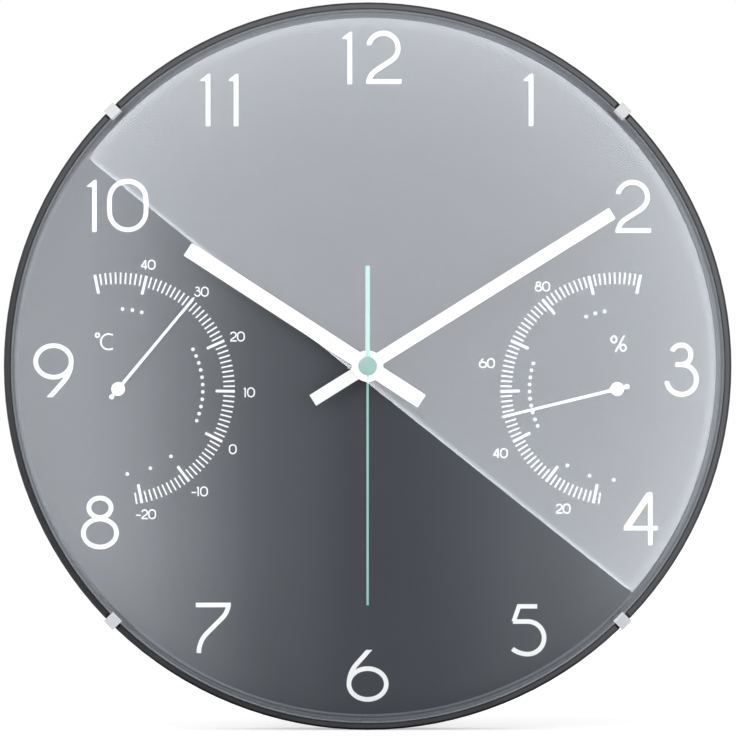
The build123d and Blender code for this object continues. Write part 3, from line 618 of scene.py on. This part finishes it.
def finish(piece, finish_name, body):
    piece.data.materials.clear()
    piece.data.materials.append(finishes[finish_name])
    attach(piece, body)


def joined(name, parts):
    deselect()
    for part in parts:
        part.select_set(True)
    bpy.context.view_layer.objects.active = parts[0]
    if len(parts) > 1:
        bpy.ops.object.join()
    return new_piece(name)


# Domed glass


dome_radius = glass_radius - shoulder_reach
sphere_radius = (dome_radius**2 + cap_rise**2) / (2 * cap_rise)
cap_slope = asin(dome_radius / sphere_radius)
shoulder_radius = shoulder_reach / (1 - sin(cap_slope))
shoulder_x = glass_radius - shoulder_radius
shoulder_y = glass_seat - glass_edge_height


def glass_profile():
    """Half section of the glass, drawn by moving one vertex out from the axis and back."""
    sphere_centre = (0, glass_apex + sphere_radius, centre_z)
    shoulder_centre = (shoulder_x, shoulder_y, centre_z)
    downward = (0, 0, -1)
    turn = pi / 2 - cap_slope
    end_slope = cap_slope * cap_end_share
    # Finer rings before the shoulder keep reflections true up to it
    cap_runs = [(cap_steps, cap_slope - end_slope), (cap_end_steps, end_slope)]
    bpy.ops.mesh.primitive_plane_add(size=mm, location=(0, glass_apex, centre_z))
    bpy.ops.object.mode_set(mode="EDIT")
    bpy.ops.mesh.merge(type="CENTER")
    for steps, angle in cap_runs:
        bpy.ops.mesh.spin(steps=steps, angle=angle, center=sphere_centre, axis=downward)
    bpy.ops.mesh.spin(steps=shoulder_steps, angle=turn, center=shoulder_centre, axis=downward)
    bpy.ops.mesh.extrude_region_move(TRANSFORM_OT_translate={"value": (0, glass_edge_height, 0)})
    bpy.ops.mesh.extrude_region_move(TRANSFORM_OT_translate={"value": (-glass_thickness, 0, 0)})
    bpy.ops.mesh.extrude_region_move(TRANSFORM_OT_translate={"value": (0, -glass_edge_height, 0)})
    bpy.ops.mesh.spin(steps=shoulder_steps, angle=-turn, center=shoulder_centre, axis=downward)
    for steps, angle in reversed(cap_runs):
        bpy.ops.mesh.spin(steps=steps, angle=-angle, center=sphere_centre, axis=downward)


def in_painted_edge_band(mesh, face):
    """Whether a face lies on the seat, the outer wall or the inner shoulder of the glass: the band that
    takes grey paint whose tone is a painted stand-in for the reflected light of the shoulder.
    """
    corners = [mesh.vertices[corner].co for corner in face.vertices]
    reaches = [hypot(corner.x, corner.z - centre_z) for corner in corners]
    levels = [corner.y for corner in corners]
    on_seat = min(levels) > glass_seat - merge_reach
    on_wall = min(reaches) > glass_radius - merge_reach and min(levels) > shoulder_y - merge_reach
    bend = shoulder_radius - glass_thickness + merge_reach
    spans = [hypot(reach - shoulder_x, level - shoulder_y) for reach, level in zip(reaches, levels)]
    return on_seat or on_wall or max(spans) < bend


def make_glass():
    glass_profile()
    bpy.ops.mesh.select_all(action="SELECT")
    bpy.ops.mesh.spin(steps=spin_steps, angle=2 * pi, center=(0, 0, centre_z), axis=(0, 1, 0))
    bpy.ops.mesh.select_all(action="SELECT")
    bpy.ops.mesh.remove_doubles(threshold=merge_reach)
    bpy.ops.mesh.normals_make_consistent(inside=False)
    bpy.ops.object.mode_set(mode="OBJECT")
    piece = settle(new_piece("domed_glass"))
    bpy.ops.object.shade_smooth_by_angle(angle=smooth_angle)
    finish(piece, "glass", "case")
    # The edge band takes the grey paint, a seal whose tone is a painted reflection of the shoulder's
    # light
    piece.data.materials.append(finishes["glass_edge"])
    for face in piece.data.polygons:
        face.material_index = 1 if in_painted_edge_band(piece.data, face) else 0
    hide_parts("dome_glass")


make_glass()


# Cap of the second hand


def make_cap():
    """Low turned button over the hub of the second hand."""
    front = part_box("second_hand")[0].y - cap_proud
    back = front + cap_height
    piece = disc(
        "second_hand_cap", cap_radius, front, back, 0, centre_z, cap_sides, cap_round, cap_round_steps
    )
    bpy.ops.object.shade_smooth_by_angle(angle=smooth_angle)
    finish(piece, "mint_cap", "second")


make_cap()


# Figures: strokes of one pen, drawn flat and then raised a little from the dial


def flat_mesh(name, outlines, front, back, base_z=centre_z):
    """Mesh filled between outlines given as x and height, as thick as from front to back."""
    curve = bpy.data.curves.new(name, "CURVE")
    curve.dimensions = "2D"
    curve.fill_mode = "BOTH"
    curve.extrude = abs(back - front) / 2
    for points in outlines:
        spline = curve.splines.new("POLY")
        spline.points.add(len(points) - 1)
        for corner, (x, z) in zip(spline.points, points):
            corner.co = (x, z, 0, 1)
        spline.use_cyclic_u = True
    piece = bpy.data.objects.new(name, curve)
    bpy.context.scene.collection.objects.link(piece)
    hold(piece)
    bpy.ops.object.convert(target="MESH")
    piece = bpy.context.object
    piece.rotation_euler = upright
    piece.location = (0, (front + back) / 2, base_z)
    bpy.ops.object.mode_set(mode="EDIT")
    bpy.ops.mesh.select_all(action="SELECT")
    bpy.ops.mesh.remove_doubles(threshold=seam_reach)
    bpy.ops.mesh.normals_make_consistent(inside=False)
    bpy.ops.object.mode_set(mode="OBJECT")
    return settle(piece)


def flat_piece(outlines, layer=0, level=dial_front, outward=-1, base_z=centre_z):
    """Print on a face, sunk a little into it."""
    front = level + outward * (print_thickness + layer * layer_step)
    return flat_mesh("part", outlines, front, level - outward * print_sink, base_z)


def pen_line(start, heading, moves):
    """Points and headings along a stroke of straight runs and arcs; a left turn is positive."""
    (x, z), facing = start, radians(heading)
    places = [(x, z, facing)]
    for move in moves:
        if len(move) == 1:
            x, z = x + move[0] * cos(facing), z + move[0] * sin(facing)
            places.append((x, z, facing))
            continue
        radius, angle = move[0], radians(move[1])
        side = 1 if angle > 0 else -1
        hub = (x - side * radius * sin(facing), z + side * radius * cos(facing))
        steps = max(fewest_steps, ceil(abs(move[1]) / arc_step))
        for step in range(1, steps + 1):
            turned = facing + angle * step / steps
            places.append(
                (hub[0] + side * radius * sin(turned), hub[1] - side * radius * cos(turned), turned)
            )
        x, z, facing = places[-1]
    return places


def pen_outline(places, pen, level=None):
    """Outline of a stroke, with its end cut square or at a level."""
    half = pen / 2
    left = [(x - half * sin(turn), z + half * cos(turn)) for x, z, turn in places]
    right = [(x + half * sin(turn), z - half * cos(turn)) for x, z, turn in places]
    if level is not None:
        facing = places[-1][2]
        for side in (left, right):
            x, z = side[-1]
            side[-1] = (x + (level - z) / tan(facing), level)
    return left + right[::-1]


def oval(centre, half_width, half_height, pen):
    """Inner and outer outline of one closed pen stroke."""
    outlines = []
    for side in (-1, 1):
        wide, high = half_width + side * pen / 2, half_height + side * pen / 2
        outlines.append(
            [
                (centre[0] + wide * cos(radians(turn)), centre[1] + high * sin(radians(turn)))
                for turn in range(0, 360, arc_step)
            ]
        )
    return outlines


# Strokes of each figure in pixels of the photograph, right and up from the figure's lower left:
# shapes are outlines with their holes, ovals are closed strokes, and a stroke starts at a place
# with a heading and then runs straight or turns about a radius. A tail is a stroke cut off level.
figures = {
    "1": [
        ("shape", [(5.3, 0), (9.8, 0), (9.8, 52.1), (7.5, 52.1), (0.2, 46.0), (0.2, 45.0), (5.3, 45.0)]),
    ],
    "2": [
        ("stroke", (3.55, 39.2), 78, [(14.8, -225), (19.0,), (14.0, 52), (0.4,)]),
        ("stroke", (1.1, 2.65), 0, [(35.0,)]),
    ],
    "3": [
        ("stroke", (8.6, 45.9), 68, [(9.75, -248), (5.7,)]),
        ("stroke", (12.0, 32.45), 0, [(6.0,), (14.9, -262.5)]),
    ],
    "4": [
        (
            "shape",
            [(24.5, 0), (28.9, 0), (28.9, 14.8), (34.1, 14.8), (34.1, 19.1), (28.9, 19.1)]
            + [(28.9, 52.8), (23.6, 52.8), (0.5, 18.9), (0.5, 14.8), (24.5, 14.8)],
            [(24.5, 19.1), (24.5, 43.7), (7.9, 19.1)],
        ),
    ],
    "5": [
        ("shape", [(9.9, 52.6), (29.7, 52.6), (29.7, 48.2), (13.1, 48.2), (9.2, 37.6), (4.0, 35.4)]),
        ("stroke", (5.4, 35.25), 0, [(14.9,), (16.3, -180), (25.0, -38)]),
    ],
    "6": [
        ("oval", (21.2, 18.3), 18.65, 15.4),
        ("tail", (2.55, 18.2), 90, [(30.0, -41.7), (18.0,)], 52.4),
    ],
    "7": [
        ("stroke", (0.2, 49.2), 0, [(34.9,)]),
        ("stroke", (32.8, 49.0), -97, [(22.0, -38), (21.4,), (28.0, 42), (1.5,)]),
    ],
    "8": [
        ("oval", (19.6, 42.0), 11.1, 9.7),
        ("oval", (19.6, 16.7), 16.6, 14.0),
    ],
    "9": [
        ("oval", (20.2, 35.8), 17.8, 15.8),
        ("tail", (37.9, 35.7), -90, [(30.0, -41.7), (18.0,)], 0),
    ],
    "0": [
        ("stroke", (2.6, 20.9), 90, [(12.2,), (18.2, -180), (12.2,), (18.2, -180)]),
    ],
}
# The thin pen of the scales draws 1 and 4 with strokes of its own, and a minus sign
small_figures = {
    **figures,
    "1": [
        ("stroke", (7.6, 0), 90, [(52.3,)]),
        ("stroke", (0.5, 45.5), 41, [(9.0,)]),
    ],
    "4": [
        ("stroke", (26.0, 0), 90, [(52.3,)]),
        ("stroke", (35.0, 15.5), 180, [(33.0,)]),
        ("stroke", (2.5, 16.0), 57, [(43.0,)]),
    ],
    "-": [
        ("stroke", (0, 21), 0, [(27.0,)]),
    ],
}
widths = {"0": 41, "1": 16, "2": 36, "3": 35, "4": 36, "6": 42, "8": 39, "-": 27}
# Lower left corner of each figure in the photograph
figure_places = [
    ("1", 342.3, 84.2),
    ("2", 365.3, 84.3),
    ("1", 523.4, 126.0),
    ("2", 614.4, 233.2),
    ("3", 663.4, 397.0),
    ("4", 623.4, 545.0),
    ("5", 507.4, 656.6),
    ("6", 346.4, 702.1),
    ("7", 195.7, 654.0),
    ("8", 80.5, 549.6),
    ("9", 33.5, 397.2),
    ("1", 87.0, 232.0),
    ("0", 107.1, 232.6),
    ("1", 200.6, 126.2),
    ("1", 228.6, 126.2),
]


def figure_parts(strokes, left, bottom, share=1.0, pen=pen_width):
    """Flat pieces of one figure whose lower left is at a pixel of the photograph."""

    def on_dial(x, z):
        return (left + x * share - circle_x) * pixel, (circle_y - bottom + z * share) * pixel

    size = share * pixel
    parts = []
    for layer, (kind, *facts) in enumerate(strokes):
        if kind == "shape":
            outlines = [[on_dial(x, z) for x, z in outline] for outline in facts]
        elif kind == "oval":
            centre, half_width, half_height = facts
            outlines = oval(on_dial(*centre), half_width * size, half_height * size, pen)
        else:
            start, heading, moves = facts[:3]
            scaled = [(move[0] * size, *move[1:]) for move in moves]
            level = on_dial(0, facts[3])[1] if kind == "tail" else None
            outlines = [pen_outline(pen_line(on_dial(*start), heading, scaled), pen, level)]
        parts.append(flat_piece(outlines, layer))
    return parts


def printed(name, parts):
    """Parts joined into one print, fixed to the case."""
    piece = joined(name, parts)
    finish(piece, "ink", "case")


def make_figures():
    parts = []
    for figure, left, bottom in figure_places:
        parts += figure_parts(figures[figure], left, bottom)
    printed("hour_figures", parts)


make_figures()


# Scales and labels of the instruments


def mark(side, turn, inner, width):
    """One raised mark of a scale, turned about the pivot of its instrument."""
    length = scale_outer - inner
    bpy.ops.mesh.primitive_cube_add(size=1)
    piece = new_piece("mark")
    size = Matrix.Diagonal((length, print_thickness + print_sink, width, 1))
    away = Matrix.Translation((inner + length / 2, 0, 0))
    spun = Matrix.Rotation(-radians(turn), 4, "Y")
    middle = dial_front + (print_sink - print_thickness) / 2
    pivot = (side * instrument_x, middle, centre_z + instrument_z)
    piece.data.transform(Matrix.Translation(pivot) @ spun @ away @ size)
    return piece


def scale_marks(name, side, first, direction):
    """Even steps with a longer mark at each tenth, and one more mark past the last."""
    parts = []
    for step in range(scale_steps + 1 + marks_past):
        major = step % major_step == 0 and step <= scale_steps
        inner, width = (major_inner, major_width) if major else (minor_inner, minor_width)
        parts.append(mark(side, first + direction * step * mark_angle, inner, width))
    printed(name, parts)


scale_marks("thermometer_scale", -1, thermometer_first, -1)
scale_marks("hygrometer_scale", 1, hygrometer_first, 1)

# Middle of each label in the photograph
labels = [
    ("40", 148.2, 264.8),
    ("30", 201.4, 291.8),
    ("20", 237.4, 336.6),
    ("10", 249.3, 392.4),
    ("0", 232.8, 449.2),
    ("-10", 199.6, 491.4),
    ("-20", 146.0, 514.2),
    ("80", 542.2, 286.6),
    ("60", 486.8, 363.2),
    ("40", 500.3, 453.2),
    ("20", 563.0, 508.6),
]
degree_sign = [
    ("oval", (97.6, -335.2), 1.9, 1.9),
    ("stroke", (113.0, -335.3), 147, [(7.75, 246)]),
]
percent_sign = [
    ("oval", (613.8, -339.4), 2.7, 3.2),
    ("oval", (623.0, -347.7), 2.7, 3.2),
    ("stroke", (615.4, -351.8), 62, [(18.4,)]),
]


def label(figure_string, x, y):
    total = sum(widths[figure] + letter_gap for figure in figure_string) - letter_gap
    left = x - total * label_share / 2
    bottom = y + figure_height * label_share / 2
    parts = []
    for figure in figure_string:
        parts += figure_parts(small_figures[figure], left, bottom, label_share, label_pen)
        left += (widths[figure] + letter_gap) * label_share
    return parts


def make_labels():
    parts = []
    for figure_string, x, y in labels:
        parts += label(figure_string, x, y)
    for sign in (degree_sign, percent_sign):
        parts += figure_parts(sign, 0, 0, pen=sign_pen)
    printed("scale_labels", parts)


make_labels()

# Rows of dots inside the scales: side, radius, angles of the first and last dot, number of dots
dot_rows = [
    (-1, 33.0 * mm, 87, 73, 3),
    (-1, 34.8 * mm, 28, -22, 11),
    (-1, 35.2 * mm, -52, -84, 3),
    (1, 32.4 * mm, 99, 113, 3),
    (1, 36.0 * mm, 163, 205, 10),
    (1, 37.5 * mm, 237, 268, 3),
]


def dot(side, reach, turn):
    x = side * instrument_x + reach * cos(radians(turn))
    z = centre_z + instrument_z + reach * sin(radians(turn))
    return disc("dot", dot_radius, dial_front - print_thickness, dial_front + print_sink, x, z, dot_sides)


def make_dots():
    parts = []
    for side, reach, first, last, count in dot_rows:
        for step in range(count):
            parts.append(dot(side, reach, first + (last - first) * step / (count - 1)))
    printed("scale_dots", parts)


make_dots()


# Thin hands


def blade_outline():
    """Outline of the second hand, pointing right, with a wider tail behind its hub."""
    thin, wide = blade_width / 2, blade_tail_width / 2
    return [
        (0, wide),
        (0, thin),
        (blade_length, thin),
        (blade_length, -thin),
        (0, -thin),
        (0, -wide),
        (-blade_tail, -wide),
        (-blade_tail, wide),
    ]


def needle_outline():
    """Outline of an instrument's needle, pointing right, with a round end to its tail."""
    root, tip = needle_root / 2, needle_tip / 2
    shoulder = needle_length - needle_point
    outline = [(0, root), (shoulder, tip), (needle_length, 0), (shoulder, -tip), (0, -root)]
    start = -asin(root / needle_tail_radius)
    sweep = 2 * pi + 2 * start
    steps = ceil(degrees(sweep) / arc_step)
    for step in range(steps + 1):
        turn = start - sweep * step / steps
        outline.append((needle_tail_radius * cos(turn) - needle_tail, needle_tail_radius * sin(turn)))
    return outline


def turned(outline, turn, pivot):
    """Points about a pivot on the dial, turned to the left."""
    across, up = cos(radians(turn)), sin(radians(turn))
    return [(pivot[0] + x * across - z * up, pivot[1] + x * up + z * across) for x, z in outline]


def make_thin_hand(node, body, outline, turn, pivot, sink, hub_radius):
    """Sheet blade with a turned hub, and a collar where the CAD node reaches behind the blade."""
    low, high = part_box(node)
    front = low.y + sink
    back = front + sheet_thickness
    rounds = [(hub_radius, low.y, back)]
    if high.y > back + merge_reach:
        rounds.append((collar_radius, back - sheet_thickness / 2, high.y))
    parts = [flat_mesh("blade", [turned(outline, turn, pivot)], front, back)]
    x, z = pivot[0], centre_z + pivot[1]
    for radius, near, far in rounds:
        rounding = min(hub_round, (far - near) * hub_round_share)
        parts.append(disc("disc", radius, near, far, x, z, hub_sides, rounding, hub_round_steps))
    piece = joined(node + "_sheet", parts)
    bpy.ops.object.shade_smooth_by_angle(angle=smooth_angle)
    slot = slots[node]
    finish(piece, slot, body)
    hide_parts(node)


def make_thin_hands():
    make_thin_hand(
        "second_hand", "second", blade_outline(), second_turn, (0, 0), blade_sink, blade_hub_radius
    )
    for node, body, turn, side in (
        ("thermometer_pointer", "thermometer", thermometer_turn, -1),
        ("hygrometer_pointer", "hygrometer", hygrometer_turn, 1),
    ):
        pivot = (side * instrument_x, instrument_z)
        make_thin_hand(node, body, needle_outline(), turn, pivot, needle_sink, needle_hub_radius)


make_thin_hands()


# Dry cell and the marks that go with it


def select_faces(piece, wanted):
    """Select the faces that a test picks, and stay in edit mode."""
    hold(piece)
    bpy.ops.object.mode_set(mode="EDIT")
    bpy.ops.mesh.select_mode(type="FACE")
    bpy.ops.mesh.select_all(action="DESELECT")
    bpy.ops.object.mode_set(mode="OBJECT")
    for face in piece.data.polygons:
        face.select = wanted(face)
    bpy.ops.object.mode_set(mode="EDIT")


def make_cell():
    """Sleeve crimped over a steel plate at each end, with the nub on the plate towards +X."""
    low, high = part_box("battery")
    radius = (high.y - low.y) / 2
    plate_radius = radius - cell_round - cell_crimp
    axis_y, axis_z = (low.y + high.y) / 2, (low.z + high.z) / 2
    bpy.ops.mesh.primitive_cylinder_add(
        radius=radius,
        depth=high.x - low.x - nub_height,
        vertices=cell_sides,
        location=((low.x + high.x - nub_height) / 2, axis_y, axis_z),
        rotation=(0, radians(90), 0),
    )
    piece = settle(new_piece("dry_cell"))
    select_faces(piece, lambda face: abs(face.normal.x) > end_facing)
    bpy.ops.mesh.bevel(offset=cell_round, segments=cell_round_steps)
    for side in (-1, 1):
        select_faces(piece, lambda face: face.normal.x * side > flat_facing)
        bpy.ops.mesh.inset(thickness=cell_crimp)
        bpy.ops.mesh.extrude_region_move(TRANSFORM_OT_translate={"value": (-side * plate_sink, 0, 0)})
    bpy.ops.mesh.inset(thickness=plate_radius - nub_radius)
    bpy.ops.mesh.extrude_region_move(TRANSFORM_OT_translate={"value": (plate_sink + nub_height, 0, 0)})
    bpy.ops.object.mode_set(mode="OBJECT")
    bpy.ops.object.shade_smooth_by_angle(angle=smooth_angle)
    finish(piece, "cell", "battery")
    piece.data.materials.append(finishes["steel"])
    for face in piece.data.polygons:
        reach = hypot(face.center.y - axis_y, face.center.z - axis_z)
        face.material_index = 1 if reach < plate_radius + merge_reach else 0
    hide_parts("battery")


def arrow_head(place):
    """Triangle that points along the heading of a place on a pen line."""
    x, z, facing = place
    tip = (x + arrow_length * cos(facing), z + arrow_length * sin(facing))
    across = (arrow_half_width * sin(facing), arrow_half_width * cos(facing))
    return [(x - across[0], z + across[1]), tip, (x + across[0], z - across[1])]


def make_movement_marks():
    """Signs beside the ends of the cell, and a curved double arrow beside the setting knob."""
    cover_low, cover_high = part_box("movement_cover")
    knob_low, knob_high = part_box("setting_knob")
    knob_x, knob_z = (knob_low.x + knob_high.x) / 2, (knob_low.z + knob_high.z) / 2
    radius = (knob_high.x - knob_low.x) / 2 + turn_gap
    sign_z = cover_low.z + sign_inset
    run = [(2 * sign_reach,)]
    strokes = [
        ((-sign_x - sign_reach, sign_z), 0),
        ((sign_x - sign_reach, sign_z), 0),
        ((sign_x, sign_z - sign_reach), 90),
    ]
    outlines = [pen_outline(pen_line(place, heading, run), mark_pen) for place, heading in strokes]
    first = radians(180 - turn_angle / 2)
    start = (knob_x + radius * cos(first), knob_z + radius * sin(first))
    arc = pen_line(start, 270 - turn_angle / 2, [(radius, turn_angle)])
    back_turned = (*start, arc[0][2] + pi)
    outlines += [pen_outline(arc, mark_pen), arrow_head(arc[-1]), arrow_head(back_turned)]
    parts = []
    for layer, outline in enumerate(outlines):
        parts.append(flat_piece([outline], layer, level=cover_high.y, outward=1, base_z=0))
    printed("movement_marks", parts)


make_cell()
make_movement_marks()


# Studio: a pale floor, a white surround and soft cards of light


def stage_plane(name, width, height, place, turn):
    bpy.ops.mesh.primitive_plane_add(size=1)
    piece = new_piece(name)
    piece.data.transform(Matrix.Diagonal((width, height, 1, 1)))
    piece.location = place
    piece.rotation_euler = [radians(a) for a in turn]
    return piece


def reflected_only(piece):
    """Show a panel to reflections and through glass, and to nothing else."""
    piece.visible_camera = False
    piece.visible_diffuse = False
    piece.visible_shadow = False


def floor_paint():
    """Near-white floor that keeps the shadow, lifted to white for the camera."""
    material, tree, shader = new_material("pale_floor")
    shader.inputs["Base Color"].default_value = (0.9, 0.9, 0.9, 1)
    shader.inputs["Roughness"].default_value = 0.9
    shader.inputs["Specular IOR Level"].default_value = 0.0
    path = tree.nodes.new("ShaderNodeLightPath")
    glow = tree.nodes.new("ShaderNodeEmission")
    glow.inputs["Color"].default_value = floor_glow
    both = tree.nodes.new("ShaderNodeAddShader")
    tree.links.new(path.outputs["Is Camera Ray"], glow.inputs["Strength"])
    tree.links.new(shader.outputs["BSDF"], both.inputs[0])
    tree.links.new(glow.outputs["Emission"], both.inputs[1])
    show(tree, both)
    return material


def make_floor():
    lowest = cad_bounds[0].z
    piece = stage_plane("floor", floor_side, floor_side, (0, 0, lowest), (0, 0, 0))
    piece.data.materials.append(floor_paint())
    piece.visible_glossy = False
    piece.visible_transmission = False


def card_light(name, glow_of, fade=None):
    """Glow of a card, whose strength glow_of works out from the card's own coordinates."""
    material, tree, glow = new_material(name, "ShaderNodeEmission")
    glow.inputs["Color"].default_value = card_colour
    glow_of(tree, glow)
    if fade:
        length = tree.nodes.new("ShaderNodeVectorMath")
        length.operation = "LENGTH"
        tree.links.new(object_place(tree), length.inputs[0])
        see_through(tree, glow, spread(tree, length.outputs["Value"], *fade))
    return material


def card(name, radius, distance, glow_of):
    """Round glowing panel in front of the clock."""
    bpy.ops.mesh.primitive_circle_add(radius=radius, vertices=card_sides, fill_type="NGON")
    piece = new_piece(name)
    piece.rotation_euler = upright
    piece.location = (0, -distance, centre_z)
    reflected_only(piece)
    piece.data.materials.append(card_light(name, glow_of))


def side_panel(name, place, turn, level, fade_share=panel_fade_share):
    """Tall panel beside the clock, which the edge of its glass and its rim reflect."""
    piece = stage_plane(name, 2 * panel_reach, 2 * panel_reach, place, turn)
    reflected_only(piece)

    def even_light(tree, glow):
        glow.inputs["Strength"].default_value = level

    fade = (panel_reach * fade_share, panel_reach)
    piece.data.materials.append(card_light(name, even_light, fade))


def make_panels():
    side_panel("left_panel", (-panel_reach, -panel_reach, centre_z), (0, 90, 0), left_level)
    side_panel("right_panel", (panel_reach, -panel_reach, centre_z), (0, 90, 0), right_level)
    side_panel("top_panel", (0, -panel_reach, centre_z + panel_reach), (0, 0, 0), top_level)
    lower = centre_z - panel_reach
    side_panel("bottom_panel", (0, -bottom_forward, lower), (0, 0, 0), bottom_level, bottom_fade_share)


def cut_card(raised, **cleared):
    """Cut the card that was just made along the slanted edge of the window, and stay in edit mode."""
    slope = radians(card_slope)
    place = bpy.context.object.location + Vector((0, 0, raised - card_drop))
    bpy.ops.object.mode_set(mode="EDIT")
    bpy.ops.mesh.select_all(action="SELECT")
    bpy.ops.mesh.bisect(plane_co=place, plane_no=(sin(slope), 0, cos(slope)), **cleared)


def make_cards():
    """The panels in front of the dial that its glass reflects."""
    slope = radians(card_slope)

    def window_light(tree, glow):
        """Brighter towards the outside, like a window seen past its frame."""
        x, y = split(tree, object_place(tree))[:2]
        reach = sums(tree, "MULTIPLY_ADD", x, x, sums(tree, "MULTIPLY", y, y))
        slow = sums(tree, "MULTIPLY_ADD", reach, window_rise, window_level)
        steep = sums(tree, "MULTIPLY", sums(tree, "POWER", reach, window_edge_power), window_edge_rise)
        across = sums(tree, "MULTIPLY_ADD", x, sin(slope), card_drop * cos(slope))
        across = sums(tree, "MULTIPLY_ADD", y, cos(slope), across)
        sill = spread(tree, across, 0.0, sill_width, sill_level, 0.0)
        span = sums(tree, "SQRT", reach)
        edge = spread(tree, span, window_radius - edge_width, window_radius, 0.0, edge_level)
        body = sums(tree, "ADD", slow, steep)
        level = sums(tree, "ADD", body, sums(tree, "MAXIMUM", edge, sill))
        tree.links.new(level, glow.inputs["Strength"])

    def side_light(tree, glow):
        """A band of light on the left, darkness before the middle and a weaker band on the right."""
        x, y = split(tree, object_place(tree))[:2]
        ramp = tree.nodes.new("ShaderNodeValToRGB")
        ramp.color_ramp.interpolation = "CARDINAL"
        tree.links.new(spread(tree, x, -side_radius, side_radius), ramp.inputs["Fac"])
        elements = ramp.color_ramp.elements
        while len(elements) < len(side_levels):
            elements.new(ramp_start)
        for element, (place, level) in zip(elements, side_levels):
            share = level / side_top
            element.position = (place + side_radius) / (2 * side_radius)
            element.color = (share, share, share, 1)
        foot = spread(tree, y, foot_end, foot_height, side_top * foot_share, side_top)
        tree.links.new(sums(tree, "MULTIPLY", ramp.outputs["Color"], foot), glow.inputs["Strength"])

    card("window_card", window_radius, card_distance, window_light)
    cut_card(0, clear_inner=True)
    bpy.ops.mesh.bevel(offset=card_corner, segments=card_corner_steps, affect="VERTICES")
    bpy.ops.object.mode_set(mode="OBJECT")
    card("side_card", side_radius, card_distance + card_gap, side_light)
    cut_card(card_overlap, clear_outer=True)
    bpy.ops.object.mode_set(mode="OBJECT")


def soft_box(name, power, place):
    """Square lamp turned to the middle of the clock, which no reflection shows."""
    data = bpy.data.lights.new(name, "AREA")
    data.shape = "SQUARE"
    data.size = box_side
    data.energy = power
    lamp = bpy.data.objects.new(name, data)
    bpy.context.scene.collection.objects.link(lamp)
    lamp.location = place
    lamp.visible_glossy = False
    ahead = Vector((0, 0, centre_z)) - Vector(place)
    lamp.rotation_euler = ahead.to_track_quat("-Z", "Y").to_euler()


def make_lights():
    """Lamps, and a surround that is white where it is seen and dimmer where it lights."""
    for name, (power, place) in soft_boxes.items():
        soft_box(name, power, place)
    world = bpy.data.worlds.new("surround")
    bpy.context.scene.world = world
    world.use_nodes = True
    tree = world.node_tree
    tree.nodes.clear()
    output = tree.nodes.new("ShaderNodeOutputWorld")
    sky = tree.nodes.new("ShaderNodeBackground")
    sky.inputs["Color"].default_value = (1, 1, 1, 1)
    path = tree.nodes.new("ShaderNodeLightPath")
    shown = sums(tree, "MAXIMUM", path.outputs["Is Camera Ray"], path.outputs["Is Glossy Ray"])
    shown = sums(tree, "MAXIMUM", shown, path.outputs["Is Transmission Ray"])
    tree.links.new(spread(tree, shown, 0.0, 1.0, room_level, 1.0), sky.inputs["Strength"])
    tree.links.new(sky.outputs["Background"], output.inputs["Surface"])


make_floor()
make_cards()
make_panels()
make_lights()
bpy.context.scene.view_settings.view_transform = "Standard"
